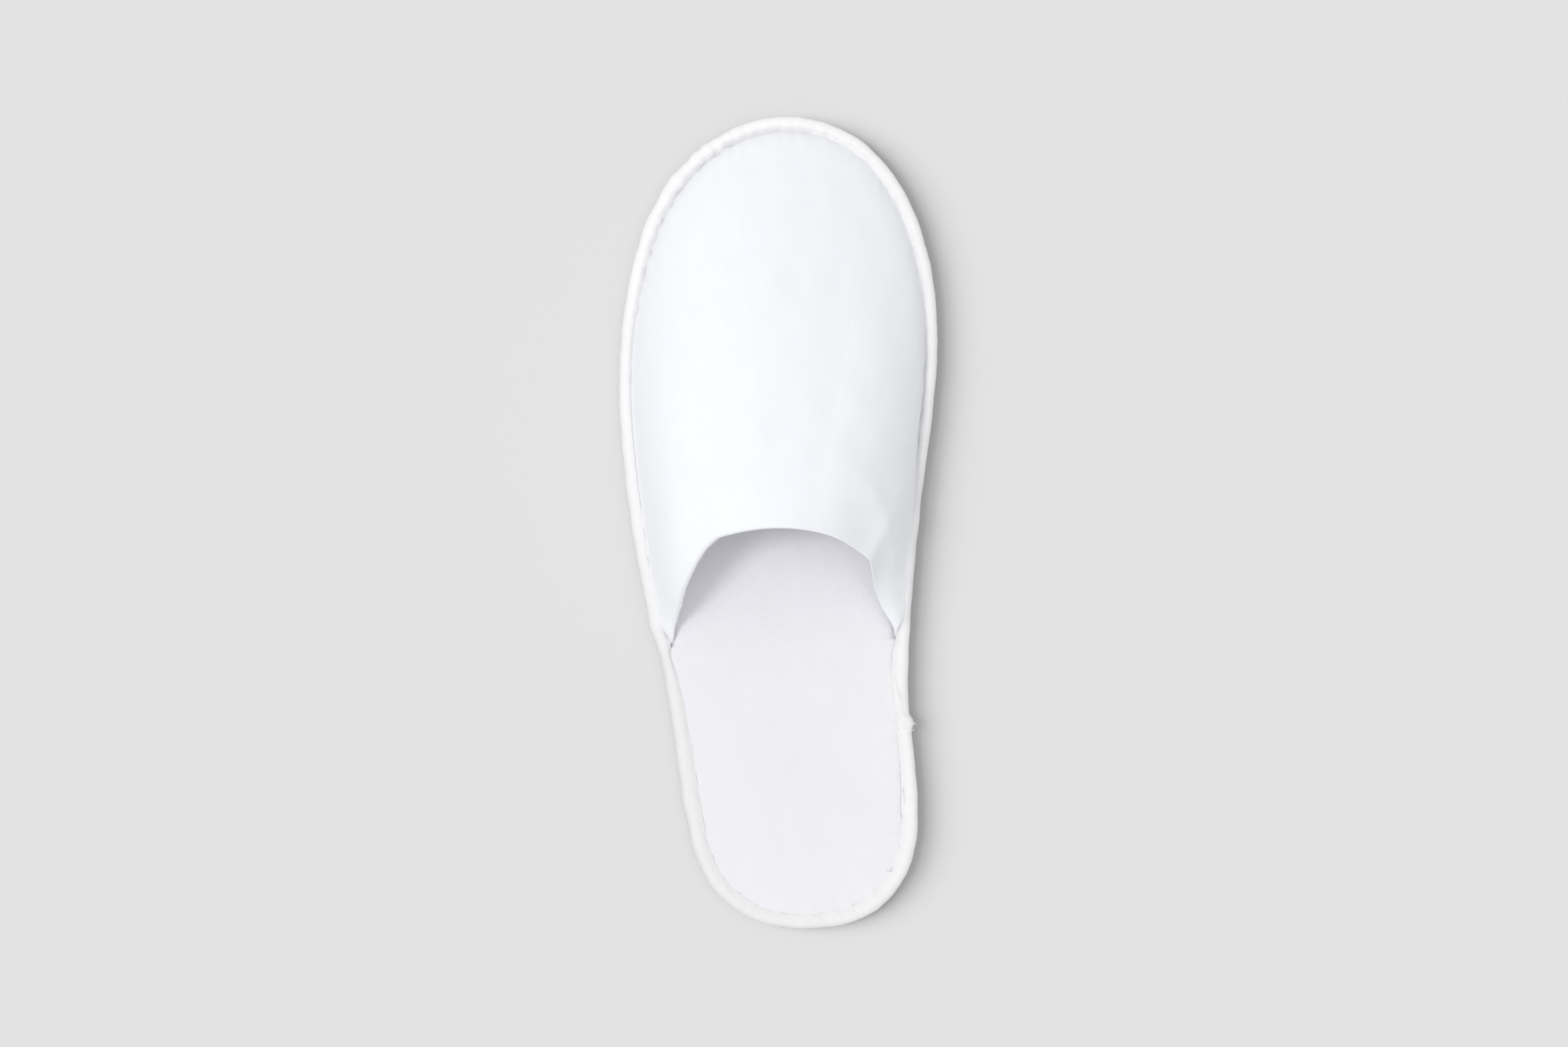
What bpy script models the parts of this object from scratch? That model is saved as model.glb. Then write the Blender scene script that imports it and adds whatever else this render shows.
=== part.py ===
"""A closed-toe hotel slipper for the left foot, empty and standing flat on its sole.

Four pieces, as a maker sews them: a foam outsole, a padded insole on it, a soft upper whose edge is laid on
the insole's rim, and a binding tape folded round the whole edge that holds the three together.
Metres. +Z is up, +Y points from heel to toe, and +X is the medial side, towards the other foot. The origin is
on the floor, below the middle of the sole's length and width.
"""

import math
from collections import namedtuple

import bmesh
import bpy
import numpy as np
from mathutils import Vector

# Driving dimensions.
LENGTH = 0.280
BALL_WIDTH = 0.110
INSTEP_HEIGHT = 0.050
OUTSOLE = 0.0040
INSOLE = 0.0033
WALL = 0.0020
TAPE = 0.0008
TAPE_LEG = 0.0048
FIT = 0.0003
TOE_SPRING = 0.0025

# The half-widths of the sole at each section, as shares of the ball width, from heel to toe.
Section = namedtuple("Section", "name along lateral medial")
SECTIONS = (
    Section("heel_back", 0.0214, 0.168, 0.249),
    Section("heel_turn", 0.0714, 0.286, 0.355),
    Section("heel_seat", 0.1500, 0.336, 0.390),
    Section("waist", 0.2857, 0.378, 0.370),
    Section("instep", 0.4286, 0.445, 0.399),
    Section("ball_back", 0.5714, 0.489, 0.452),
    Section("ball", 0.6964, 0.498, 0.496),
    Section("toe_roots", 0.8036, 0.458, 0.489),
    Section("toes", 0.8929, 0.376, 0.424),
    Section("toe_turn", 0.9607, 0.232, 0.300),
)
HEEL_TIP_ACROSS = 0.041
TOE_TIP_ACROSS = 0.045

# The upper's throat edge, from its lateral wing to its medial wing. across is a share of the ball width,
# along a share of the length, and height a share of the rise from the seam to the instep's top.
Throat = namedtuple("Throat", "name across along height")
THROAT = (
    Throat("lateral_wing", -0.340, 0.412, 0.29),
    Throat("lateral_shoulder", -0.302, 0.456, 0.58),
    Throat("lateral_crown", -0.225, 0.483, 0.82),
    Throat("crown", -0.035, 0.494, 1.00),
    Throat("medial_crown", 0.112, 0.481, 0.96),
    Throat("medial_shoulder", 0.222, 0.457, 0.79),
    Throat("medial_flank", 0.263, 0.427, 0.58),
    Throat("medial_wing", 0.303, 0.386, 0.26),
)
WING_END = 0.352

# Levels in the edge's stack, from the floor up.
TAPE_FLOOR = FIT
OUTSOLE_RIM = TAPE_FLOOR + TAPE + FIT
INSOLE_BASE = OUTSOLE + FIT
SEAM_TOP = INSOLE_BASE + INSOLE
TUCK_TOP = SEAM_TOP - WALL - FIT
TAPE_TOP = SEAM_TOP + FIT + TAPE

# Distances in from the outer edge of the tape.
LAYER_INSET = TAPE + FIT
TAPE_ROUND = 0.0018
FLANGE_INSET = 0.0020
SEAM_INSET = TAPE_LEG + FIT
WING_INSET = SEAM_INSET + 0.0005
WING_RISE = 0.0015
TREAD_INSET = SEAM_INSET + 0.0009
TUCK_INSET = SEAM_INSET + 0.0017
PAD_INSET = SEAM_INSET + 0.0042
SEAM_DIP = 0.0004

# How the upper rises from seam to throat: the straight share of its rise and how sharply the rest turns over,
# at the toe and at the wings.
TOE_STRAIGHT = 0.42
TOE_TURN = 3.6
WING_STRAIGHT = 0.75
WING_TURN = 2.2

# The padded cloth puffs up where it leaves the seam, and its flanks bulge out over the tape.
PUFF = 0.0016
PUFF_RUN = 0.0020
LATERAL_BULGE = 0.0016
MEDIAL_BULGE = 0.0024
BULGE_HEIGHT = 0.0060
BULGE_START = TAPE + 2 * FIT
BULGE_FULL = 0.016
BULGE_TOE_FADE = 4
BULGE_THROAT_FADE = 3

# The wings' throat edge runs beside the seam, so equal lengths face each other there.
THROAT_FANNING = 5

SPRING_START = 0.25 * LENGTH
TUCK_END = WING_END - 0.0025
FRONT_STEPS = 34
REAR_STEPS = 16
UPPER_COLUMNS = 80
UPPER_ROWS = 14
ROW_CROWDING = 1.8
ROUND_STEPS = 2
SHARP_ANGLE = math.radians(38)


def smooth_curve(knots, closed, fine=24):
    """Dense points on the twice-smooth cubic through the knots, natural at the ends of an open curve."""
    knots = np.asarray(knots, float)
    count = len(knots)
    spans = count if closed else count - 1
    ahead = np.roll(knots, -1, axis=0)
    length = np.linalg.norm(ahead - knots, axis=1)
    slope = (ahead - knots) / np.maximum(length, 1e-9)[:, None]
    matrix = np.eye(count)
    bend = np.zeros_like(knots)
    for i in range(count) if closed else range(1, count - 1):
        matrix[i, i] = 2 * (length[i - 1] + length[i])
        matrix[i, i - 1] = length[i - 1]
        matrix[i, (i + 1) % count] = length[i]
        bend[i] = 6 * (slope[i] - slope[i - 1])
    curve = np.linalg.solve(matrix, bend)
    points = []
    for i in range(spans):
        j = (i + 1) % count
        for step in range(fine):
            t = step / fine * length[i]
            rest = length[i] - t
            cubic = (curve[i] * rest**3 + curve[j] * t**3) / (6 * length[i])
            line = (knots[i] / length[i] - curve[i] * length[i] / 6) * rest
            points.append(cubic + line + (knots[j] / length[i] - curve[j] * length[i] / 6) * t)
    if not closed:
        points.append(knots[-1])
    return np.array(points)


class Track:
    """A dense line of points that is read by its length."""

    def __init__(self, points):
        self.points = points
        self.reach = np.concatenate([[0], np.cumsum(np.linalg.norm(np.diff(points, axis=0), axis=1))])
        self.length = self.reach[-1]

    def at(self, distance):
        return self.read(distance, self.points)

    def read(self, distance, rows):
        """The rows' values at a length, for rows that go one with each point."""
        return np.array([np.interp(distance, self.reach, column) for column in rows.T])


def sole_outline():
    """The closed outer edge, from the toe's tip round the lateral side to the heel and back."""
    lateral = [(-row.lateral * BALL_WIDTH, (row.along - 0.5) * LENGTH) for row in SECTIONS]
    medial = [(row.medial * BALL_WIDTH, (row.along - 0.5) * LENGTH) for row in SECTIONS]
    toe = (TOE_TIP_ACROSS * BALL_WIDTH, 0.5 * LENGTH)
    heel = (HEEL_TIP_ACROSS * BALL_WIDTH, -0.5 * LENGTH)
    points = smooth_curve([toe, *reversed(lateral), heel, *medial], closed=True)
    low, high = points.min(axis=0), points.max(axis=0)
    size = np.array([BALL_WIDTH, LENGTH])
    points = (points - (low + high) / 2) * size / (high - low)
    return np.roll(points, -int(points[:, 1].argmax()), axis=0)


class Edge(Track):
    """The sole's edge, read by its length from the toe's tip over the lateral side."""

    def __init__(self):
        outline = sole_outline()
        run = np.roll(outline, -1, axis=0) - np.roll(outline, 1, axis=0)
        run /= np.linalg.norm(run, axis=1)[:, None]
        inward = np.stack([-run[:, 1], run[:, 0]], axis=1)
        super().__init__(np.vstack([outline, outline[:1]]))
        self.inward = np.vstack([inward, inward[:1]])
        self.turn = int(outline[:, 1].argmin())
        self.heel = self.reach[self.turn]

    def inside(self, distance, inset):
        """The point at a length round the edge, moved in from the tape's outer face."""
        return self.at(distance) + inset * self.read(distance, self.inward)

    def side(self, along, medial):
        """The length round the edge at which the given side passes a share of the sole's length."""
        y = (along - 0.5) * LENGTH
        heights = self.points[:, 1]
        if medial:
            return float(np.interp(y, heights[self.turn :], self.reach[self.turn :]))
        return float(np.interp(-y, -heights[: self.turn + 1], self.reach[: self.turn + 1]))


EDGE = Edge()


def ring_stops():
    """Lengths round the edge for a closed ring, in pairs that face each other across the sole."""
    lateral_end = EDGE.side(TUCK_END, medial=False)
    medial_end = EDGE.side(TUCK_END, medial=True)
    stops = [0.0, lateral_end, EDGE.heel, medial_end, EDGE.length]
    steps = (FRONT_STEPS, REAR_STEPS, REAR_STEPS, FRONT_STEPS)
    lengths = []
    for start, stop, count in zip(stops, stops[1:], steps):
        lengths.extend(start + (stop - start) * i / count for i in range(count))
    return lengths


RING = ring_stops()


def lifted(x, y, z):
    """A point of the flat slipper after the toe's slight lift off the floor."""
    past = max(0.0, (y - SPRING_START) / (0.5 * LENGTH - SPRING_START))
    return Vector((x, y, z + TOE_SPRING * past**2))


def ring_points(inset, level):
    """A closed ring at an inset; level is a height, or two heights, for the tucked front and for the rear."""
    front, rear = level if isinstance(level, tuple) else (level, level)
    split = FRONT_STEPS
    last = len(RING) - FRONT_STEPS
    points = []
    for i, length in enumerate(RING):
        x, y = EDGE.inside(length, inset)
        points.append(lifted(x, y, rear if split < i < last else front))
    return points


def cap(bm, ring, flip):
    """Closes a ring with a ladder of faces between facing pairs of points."""
    count = len(ring)
    half = count // 2
    for i in range(half):
        corners = [ring[i], ring[i + 1], ring[count - i - 1], ring[(count - i) % count]]
        corners = list(dict.fromkeys(corners))
        bm.faces.new(corners[::-1] if flip else corners)


def add_object(name, bm, colour, roughness):
    mesh = bpy.data.meshes.new(name)
    bm.to_mesh(mesh)
    bm.free()
    mesh.shade_smooth()
    mesh.set_sharp_from_angle(angle=SHARP_ANGLE)
    material = bpy.data.materials.new(name + "_material")
    material.use_nodes = True
    surface = material.node_tree.nodes["Principled BSDF"]
    surface.inputs["Base Color"].default_value = (*colour, 1)
    surface.inputs["Roughness"].default_value = roughness
    surface.inputs["Metallic"].default_value = 0
    mesh.materials.append(material)
    obj = bpy.data.objects.new(name, mesh)
    bpy.context.scene.collection.objects.link(obj)
    return obj


def add_layer(name, rings, colour, roughness):
    """A sole layer: a flat base and top, joined by the rings of its rim from the base up."""
    bm = bmesh.new()
    loops = [[bm.verts.new(point) for point in ring_points(*ring)] for ring in rings]
    for low, high in zip(loops, loops[1:]):
        for i in range(len(low)):
            j = (i + 1) % len(low)
            bm.faces.new([low[i], low[j], high[j], high[i]])
    cap(bm, loops[0], flip=True)
    cap(bm, loops[-1], flip=False)
    return add_object(name, bm, colour, roughness)


def add_outsole():
    rings = (
        (TREAD_INSET, 0.0),
        (SEAM_INSET, OUTSOLE_RIM),
        (TAPE_ROUND, OUTSOLE_RIM),
        (LAYER_INSET, OUTSOLE_RIM + TAPE_ROUND - LAYER_INSET),
        (LAYER_INSET, OUTSOLE),
    )
    return add_layer("outsole", rings, colour=(0.80, 0.80, 0.79), roughness=0.62)


def add_insole():
    rings = (
        (LAYER_INSET, INSOLE_BASE),
        (LAYER_INSET, (TUCK_TOP - FIT, SEAM_TOP - TAPE_ROUND + LAYER_INSET)),
        (TAPE_ROUND, (TUCK_TOP, SEAM_TOP)),
        (TUCK_INSET, (TUCK_TOP, SEAM_TOP - SEAM_DIP)),
        (PAD_INSET, SEAM_TOP),
    )
    return add_layer("insole", rings, colour=(0.86, 0.86, 0.89), roughness=0.9)


def tape_face(radius):
    """One face of the folded tape as insets and heights, from its lower leg over the side to its upper leg."""
    low = TAPE_FLOOR + TAPE_ROUND
    high = TAPE_TOP - TAPE_ROUND
    face = [(TAPE_LEG, low - radius)]
    for centre, start in ((low, -90), (high, -180)):
        for step in range(ROUND_STEPS + 1):
            angle = math.radians(start - 90 * step / ROUND_STEPS)
            face.append((TAPE_ROUND + radius * math.cos(angle), centre + radius * math.sin(angle)))
    face.append((TAPE_LEG, high + radius))
    return face


def add_binding():
    bm = bmesh.new()
    section = tape_face(TAPE_ROUND) + tape_face(TAPE_ROUND - TAPE)[::-1]
    loops = [[bm.verts.new(point) for point in ring_points(*corner)] for corner in section]
    for low, high in zip(loops, loops[1:] + loops[:1]):
        for i in range(len(low)):
            j = (i + 1) % len(low)
            bm.faces.new([low[i], low[j], high[j], high[i]])
    return add_object("binding", bm, colour=(0.90, 0.90, 0.89), roughness=0.85)


def throat_track(lateral_end, medial_end):
    """The throat's edge in space, between the two wing ends."""
    ends = []
    for end in (lateral_end, medial_end):
        ends.append((*EDGE.inside(end, WING_INSET), SEAM_TOP + WING_RISE))
    rise = INSTEP_HEIGHT - SEAM_TOP
    middle = [
        (row.across * BALL_WIDTH, (row.along - 0.5) * LENGTH, SEAM_TOP + row.height * rise) for row in THROAT
    ]
    return Track(smooth_curve([ends[0], *middle, ends[1]], closed=False))


def bulge(share, part, climb, height):
    """How far a flank of this height stands out over the tape; the toe, throat and wing ends do not."""
    above = max(0.0, climb - BULGE_START) / BULGE_HEIGHT
    most = LATERAL_BULGE if share < 0.5 else MEDIAL_BULGE
    flank = 1 - math.sin(math.pi * share) ** BULGE_TOE_FADE
    low = 1 - part**BULGE_THROAT_FADE
    return most * above * math.exp(1 - above) * flank * low * min(1.0, height / BULGE_FULL) ** 2


def throat_share(share, wing_pace):
    """The share of the throat that faces a share of the seam; wing_pace is its pace at the wing ends."""
    even = (THROAT_FANNING - wing_pace) / (THROAT_FANNING - 1)
    half = min(share, 1 - share)
    facing = even * half + 0.5 * (1 - even) * (1 - (1 - 2 * half) ** THROAT_FANNING)
    return facing if share < 0.5 else 1 - facing


def upper_column(share, lateral_end, medial_end, throat):
    """The outer face's points on one line from the flange's rim over the seam to the throat."""
    seam_length = lateral_end + EDGE.length - medial_end
    round_toe = lateral_end - share * seam_length
    length = round_toe % EDGE.length
    flange = EDGE.inside(length, FLANGE_INSET)
    seam = EDGE.inside(length, SEAM_INSET)
    outward = (flange - seam) / (SEAM_INSET - FLANGE_INSET)
    end = throat.at(throat_share(share, seam_length / throat.length) * throat.length)
    reach = math.dist(seam, end[:2])
    height = end[2] - SEAM_TOP
    toe_share = math.sin(math.pi * share)
    straight = WING_STRAIGHT + (TOE_STRAIGHT - WING_STRAIGHT) * toe_share
    turn = WING_TURN + (TOE_TURN - WING_TURN) * toe_share
    points = [lifted(*flange, SEAM_TOP), lifted(*seam, SEAM_TOP)]
    for row in range(1, UPPER_ROWS + 1):
        part = (row / UPPER_ROWS) ** ROW_CROWDING
        rise = straight * part + (1 - straight) * (1 - (1 - part) ** turn)
        puff = PUFF * toe_share * (1 - math.exp(-part * reach / PUFF_RUN)) * (1 - part)
        climb = height * rise + puff
        x, y = seam + (end[:2] - seam) * part + outward * bulge(share, part, climb, height)
        points.append(lifted(x, y, SEAM_TOP + climb))
    return points


def add_upper():
    lateral_end = EDGE.side(WING_END, medial=False)
    medial_end = EDGE.side(WING_END, medial=True)
    throat = throat_track(lateral_end, medial_end)
    bm = bmesh.new()
    columns = []
    for i in range(UPPER_COLUMNS + 1):
        points = upper_column(i / UPPER_COLUMNS, lateral_end, medial_end, throat)
        columns.append([bm.verts.new(point) for point in points])
    for left, right in zip(columns, columns[1:]):
        for low in range(len(left) - 1):
            bm.faces.new([left[low], left[low + 1], right[low + 1], right[low]])
    obj = add_object("upper", bm, colour=(0.92, 0.93, 0.95), roughness=0.85)
    wall = obj.modifiers.new("wall", "SOLIDIFY")
    wall.thickness = WALL
    wall.offset = -1
    wall.use_even_offset = True
    wall.use_quality_normals = True
    return obj


def clear_scene():
    for obj in list(bpy.data.objects):
        bpy.data.objects.remove(obj)


clear_scene()
add_outsole()
add_insole()
add_binding()
add_upper()
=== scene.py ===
"""The finished look of a left closed-toe hotel slipper, built round its CAD solids.

Metres, in the CAD's own frame: +Z is up, +Y points from heel to toe, +X is the medial side, and the origin
is on the floor below the middle of the sole. Every cloth piece is laid out from the sole's edge: a place on
it is a length round the edge, from the toe's tip over the lateral side, and an inset from the tape's outer
face.
"""

import math
from collections import namedtuple

import bmesh
import bpy
import numpy as np
from mathutils import Matrix, Vector


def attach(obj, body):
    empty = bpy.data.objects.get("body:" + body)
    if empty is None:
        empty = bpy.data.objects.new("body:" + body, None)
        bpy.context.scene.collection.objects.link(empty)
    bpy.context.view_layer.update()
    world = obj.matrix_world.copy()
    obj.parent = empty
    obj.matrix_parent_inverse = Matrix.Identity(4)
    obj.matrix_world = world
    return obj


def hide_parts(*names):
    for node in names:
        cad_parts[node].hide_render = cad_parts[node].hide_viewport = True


# The slipper's driving sizes, as in the CAD model.
LENGTH = 0.280
BALL_WIDTH = 0.110
INSTEP_HEIGHT = 0.050
OUTSOLE = 0.0040
INSOLE = 0.0033
WALL = 0.0020
TAPE = 0.0008
FIT = 0.0003
TOE_SPRING = 0.0025
SPRING_START = 0.25 * LENGTH
TAPE_FLOOR = FIT
INSOLE_BASE = OUTSOLE + FIT
SEAM_TOP = INSOLE_BASE + INSOLE
TAPE_TOP = SEAM_TOP + FIT + TAPE
SEAM_INSET = 0.0051
WING_END = 0.352

# Where the throat's edge ends at the tape, and how its two tips sink into the seam.
WING_INSET = 0.0044
WING_RISE = 0.0004
TIP_SINK = 0.0017
TIP_RUN = 0.0045
TIP_POWER = 1.5

# The half-widths of the sole at each section, as shares of the ball width, from heel to toe.
Section = namedtuple("Section", "name along lateral medial")
SECTIONS = (
    Section("heel_back", 0.0214, 0.168, 0.249),
    Section("heel_turn", 0.0714, 0.286, 0.355),
    Section("heel_seat", 0.1500, 0.336, 0.390),
    Section("waist", 0.2857, 0.378, 0.370),
    Section("instep", 0.4286, 0.445, 0.399),
    Section("ball_back", 0.5714, 0.489, 0.452),
    Section("ball", 0.6964, 0.498, 0.496),
    Section("toe_roots", 0.8036, 0.458, 0.489),
    Section("toes", 0.8929, 0.376, 0.424),
    Section("toe_turn", 0.9607, 0.232, 0.300),
)
HEEL_TIP_ACROSS = 0.041
TOE_TIP_ACROSS = 0.045

# The upper's throat edge, from its lateral wing to its medial wing, as shares of the ball width, the length
# and the instep's height. It turns sharply where the front of the opening meets its two sides.
Throat = namedtuple("Throat", "name across along height")
THROAT = (
    Throat("lateral_tip", -0.3650, 0.3720, 0.09),
    Throat("lateral_wing", -0.3630, 0.4120, 0.43),
    Throat("lateral_shoulder", -0.3210, 0.4560, 0.71),
    Throat("lateral_corner_start", -0.2620, 0.4860, 0.83),
    Throat("lateral_corner", -0.2450, 0.4903, 0.86),
    Throat("lateral_corner_end", -0.2270, 0.4922, 0.88),
    Throat("crown", -0.0350, 0.4984, 1.00),
    Throat("medial_crown", 0.1130, 0.4835, 0.90),
    Throat("medial_corner_start", 0.2150, 0.4590, 0.68),
    Throat("medial_corner", 0.2335, 0.4530, 0.635),
    Throat("medial_corner_end", 0.2415, 0.4460, 0.575),
    Throat("medial_flank", 0.2590, 0.4230, 0.34),
    Throat("medial_wing", 0.3045, 0.3840, 0.115),
    Throat("medial_tip", 0.3300, 0.3660, 0.06),
)

# How the upper rises from seam to throat, at the toe and at the wings: straight is the part of the rise that
# is even, and turn is how steeply the rest starts. The medial side's own values come in from a share of the
# seam on, over a run.
TOE_STRAIGHT = 0.42
TOE_TURN = 3.6
MEDIAL_TOE_TURN = 2.8
MEDIAL_STRAIGHT = 0.20
WING_STRAIGHT = 0.14
WING_TURN = 2.5
MEDIAL_WING_STRAIGHT = 0.05
MEDIAL_WING_TURN = 2.6
MEDIAL_SIDE = (0.42, 0.16)
MEDIAL_FLANK = (0.45, 0.15)
MEDIAL_FLANK_END = (0.91, 0.06)

# How full the upper is beside the tape: its puff at the toe, and its bulge over the tape at the flanks.
PUFF = 0.0016
PUFF_RUN = 0.0020
LATERAL_BULGE = 0.0008
MEDIAL_BULGE = 0.0017
BULGE_HEIGHT = 0.0060
BULGE_START = TAPE + 2 * FIT
BULGE_FULL = 0.016
BULGE_TOE_FADE = 4
BULGE_THROAT_FADE = 3

# How soon, past the wings' ends, the throat is shared out evenly along the seam.
THROAT_FANNING = 5

# The tape round the edge. around is a share of the edge's length, width is how far the tape reaches in on
# top, lift how far its sewn edge is pushed up, gather how strongly the cloth beside it is gathered, stand how
# far its outer face stands out from the sole, groove how deep the cloth beside it is drawn down and how much
# shade is painted beside it, and the last column how much its colour is darkened: painted shade where the
# upper's flanks lie over it, and a darker tone round the heel.
Station = namedtuple("Station", "name around width lift gather stand groove dull")
STATIONS = (
    Station("toe_tip", 0.000, 0.0058, 0.0, 0.6, -0.0002, 1.00, 0.0),
    Station("lateral_toe_front", 0.032, 0.0056, 0.0, 0.9, -0.0002, 1.20, 0.0),
    Station("lateral_toe", 0.070, 0.0054, 0.0, 1.0, 0.0001, 1.20, 0.0),
    Station("lateral_toe_side", 0.115, 0.0049, 0.0, 0.9, 0.0, 0.90, 0.05),
    Station("lateral_ball", 0.165, 0.0041, 0.0, 0.5, 0.0, 0.60, 0.15),
    Station("lateral_waist", 0.215, 0.0037, 0.0, 0.3, 0.0004, 0.35, 0.25),
    Station("lateral_flank", 0.250, 0.0034, 0.0, 0.2, 0.0006, 0.25, 0.35),
    Station("lateral_fold", 0.285, 0.0030, 0.0, 0.1, 0.0004, 0.20, 0.45),
    Station("lateral_wing", 0.305, 0.0022, 0.0, 0.1, 0.0009, 0.20, 0.50),
    Station("lateral_tip", 0.3155, 0.0044, 0.0002, 0.1, 0.0002, 1.00, 0.60),
    Station("behind_lateral_tip", 0.323, 0.0038, 0.0, 0.1, -0.0003, 0.30, 0.70),
    Station("lateral_rear", 0.345, 0.0046, -0.00010, 0.2, 0.0003, 0.06, 0.75),
    Station("lateral_rear_swell", 0.390, 0.0050, -0.00014, 0.2, 0.0007, 0.08, 0.75),
    Station("lateral_heel", 0.430, 0.0052, -0.00012, 0.3, 0.0001, 0.10, 0.75),
    Station("lateral_heel_turn", 0.465, 0.0054, -0.00008, 0.4, 0.0001, 0.15, 0.65),
    Station("heel", 0.500, 0.0056, -0.00004, 0.6, -0.0003, 0.20, 0.50),
    Station("medial_heel_turn", 0.540, 0.0058, 0.0, 0.8, 0.0004, 0.25, 0.35),
    Station("medial_heel", 0.570, 0.0059, 0.0, 0.5, 0.0004, 0.30, 0.25),
    Station("medial_rear", 0.600, 0.0060, 0.0, 0.3, 0.0002, 0.50, 0.15),
    Station("behind_joint", 0.6375, 0.0051, 0.0, 0.3, 0.0003, 0.45, 0.12),
    Station("joint", 0.6418, 0.0060, 0.0002, 0.3, 0.0009, 0.30, 0.12),
    Station("before_joint", 0.6468, 0.0050, 0.0001, 0.3, 0.0003, 0.45, 0.15),
    Station("lap", 0.660, 0.0059, 0.0002, 0.2, 0.0004, 0.35, 0.20),
    Station("medial_tape_end", 0.678, 0.0056, 0.0004, 0.1, 0.0008, 0.50, 0.05),
    Station("medial_tip", 0.690, 0.0042, 0.0004, 0.1, 0.0008, 0.60, 0.05),
    Station("medial_wing", 0.6975, 0.0019, 0.0, 0.1, 0.0007, 0.60, 0.35),
    Station("medial_fold", 0.725, 0.0017, 0.0, 0.1, 0.0005, 0.60, 0.60),
    Station("medial_flank", 0.755, 0.0025, 0.0, 0.1, 0.0004, 0.70, 0.65),
    Station("medial_waist", 0.800, 0.0038, 0.0, 0.2, 0.0007, 0.90, 0.35),
    Station("medial_ball", 0.860, 0.0042, 0.0, 0.3, 0.0007, 0.55, 0.10),
    Station("medial_toe_side", 0.905, 0.0046, 0.0, 0.3, 0.0006, 0.25, 0.05),
    Station("medial_toe", 0.950, 0.0049, 0.0, 0.3, 0.0003, 0.10, 0.0),
)

# Soft folds of the upper, each along a short line of points across and along the shoe, in the same shares as
# the throat's. rise is above zero for a ridge and below it for a trough, and crest is how rounded a crisp
# fold's crest is: none for a fold that is soft all over.
Fold = namedtuple("Fold", "name width rise crest points")
MEDIAL_RIDGE = (
    (0.140, 0.566),
    (0.196, 0.556),
    (0.240, 0.539),
    (0.274, 0.512),
    (0.294, 0.488),
    (0.318, 0.460),
    (0.334, 0.425),
)
LONG_MEDIAL_TROUGH = ((0.335, 0.740), (0.326, 0.662), (0.312, 0.600), (0.300, 0.555), (0.290, 0.530))
FOLDS = (
    Fold("medial_ridge", 0.0048, 0.00062, 0.0008, MEDIAL_RIDGE),
    Fold("outside_medial_ridge", 0.0060, -0.00015, 0.0, ((0.300, 0.550), (0.345, 0.515), (0.365, 0.470))),
    Fold("long_medial_trough", 0.0075, -0.00030, 0.0, LONG_MEDIAL_TROUGH),
    Fold("medial_flank_trough", 0.0036, -0.00030, 0.0, ((0.385, 0.520), (0.392, 0.455), (0.385, 0.395))),
    Fold("lateral_wing_trough", 0.0040, -0.00025, 0.0, ((-0.372, 0.470), (-0.385, 0.420))),
    Fold("medial_toe_dent", 0.0060, -0.00035, 0.0, ((0.330, 0.800), (0.372, 0.740))),
    Fold("medial_ball_dent", 0.0050, -0.00030, 0.0, ((0.395, 0.690), (0.405, 0.640))),
)
FOLD_FADE = 0.12
FOLD_FADE_POWER = 1.2
FOLD_POINTS = 12

# Waves round the edge: how high each is where the cloth lies even, how much higher where it is gathered, how
# far apart its crests are, and the seed of its draws.
Wave = namedtuple("Wave", "even gathered pitch seed")
TAPE_WIDTH_WANDER = Wave(0.00008, 0.0, 0.0140, 21)
TAPE_WIDTH_GATHER = Wave(0.0, 0.00012, 0.0060, 22)
TAPE_LIFT_WAVE = Wave(0.00003, 0.00008, 0.0075, 23)
TAPE_LUMPS = Wave(0.00005, 0.00004, 0.0170, 24)
TAPE_WRINKLES = Wave(0.00002, 0.00005, 0.0034, 25)
TAPE_PUCKERS = Wave(0.0, 0.00006, 0.0058, 26)
SEAM_PULL = Wave(0.28, 0.0, 0.0090, 12)
CLOTH_GATHER = Wave(0.0, 0.00015, 0.0075, 11)
PAD_GATHER = Wave(0.0, 0.00012, 0.0085, 31)
RIPPLE_WAVES = 14
RIPPLE_TURNS = (0.55, 1.5)

# Soft swells over the plan: how high each is, how far apart, and the seed of its draws.
Swell = namedtuple("Swell", "height pitch seed")
UPPER_SWELLS = (Swell(0.00016, 0.034, 3), Swell(0.00007, 0.013, 4))
PAD_SWELLS = (Swell(0.00012, 0.040, 32), Swell(0.00004, 0.012, 33))
SWELL_WAVES = 18
SWELL_PITCHES = (0.7, 1.6)


# Tools.


def part_way(value, start, run):
    """How far a value is past a start, as a share of a run, from zero to one."""
    return np.clip((value - start) / run, 0, 1)


def mix(low, high, share):
    """What lies this share of the way from low to high."""
    return low + (high - low) * share


def smooth(share):
    """A share from zero to one, eased at both ends."""
    return share * share * (3 - 2 * share)


def ramp(value, ease):
    """A smooth step: nothing well below zero and one well above it."""
    return 1 / (1 + np.exp(-np.clip(value / ease, -40, 40)))


def bump_up(distance, width):
    """A soft bell: one at zero distance, and nearly nothing two widths away."""
    return np.exp(-((distance / width) ** 2))


def swelling(distance, run):
    """Nothing at zero distance, one a run away, and fading from there on."""
    return distance / run * np.exp(1 - distance / run)


def rise_of_spring(y):
    """How far the toe's spring lifts a point at this place along the shoe."""
    past = np.clip((y - SPRING_START) / (0.5 * LENGTH - SPRING_START), 0, None)
    return TOE_SPRING * past**2


def lifted(plan, level):
    """Points over a plan at a height, with the toe's spring."""
    return np.column_stack([plan, level + rise_of_spring(plan[:, 1])])


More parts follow.
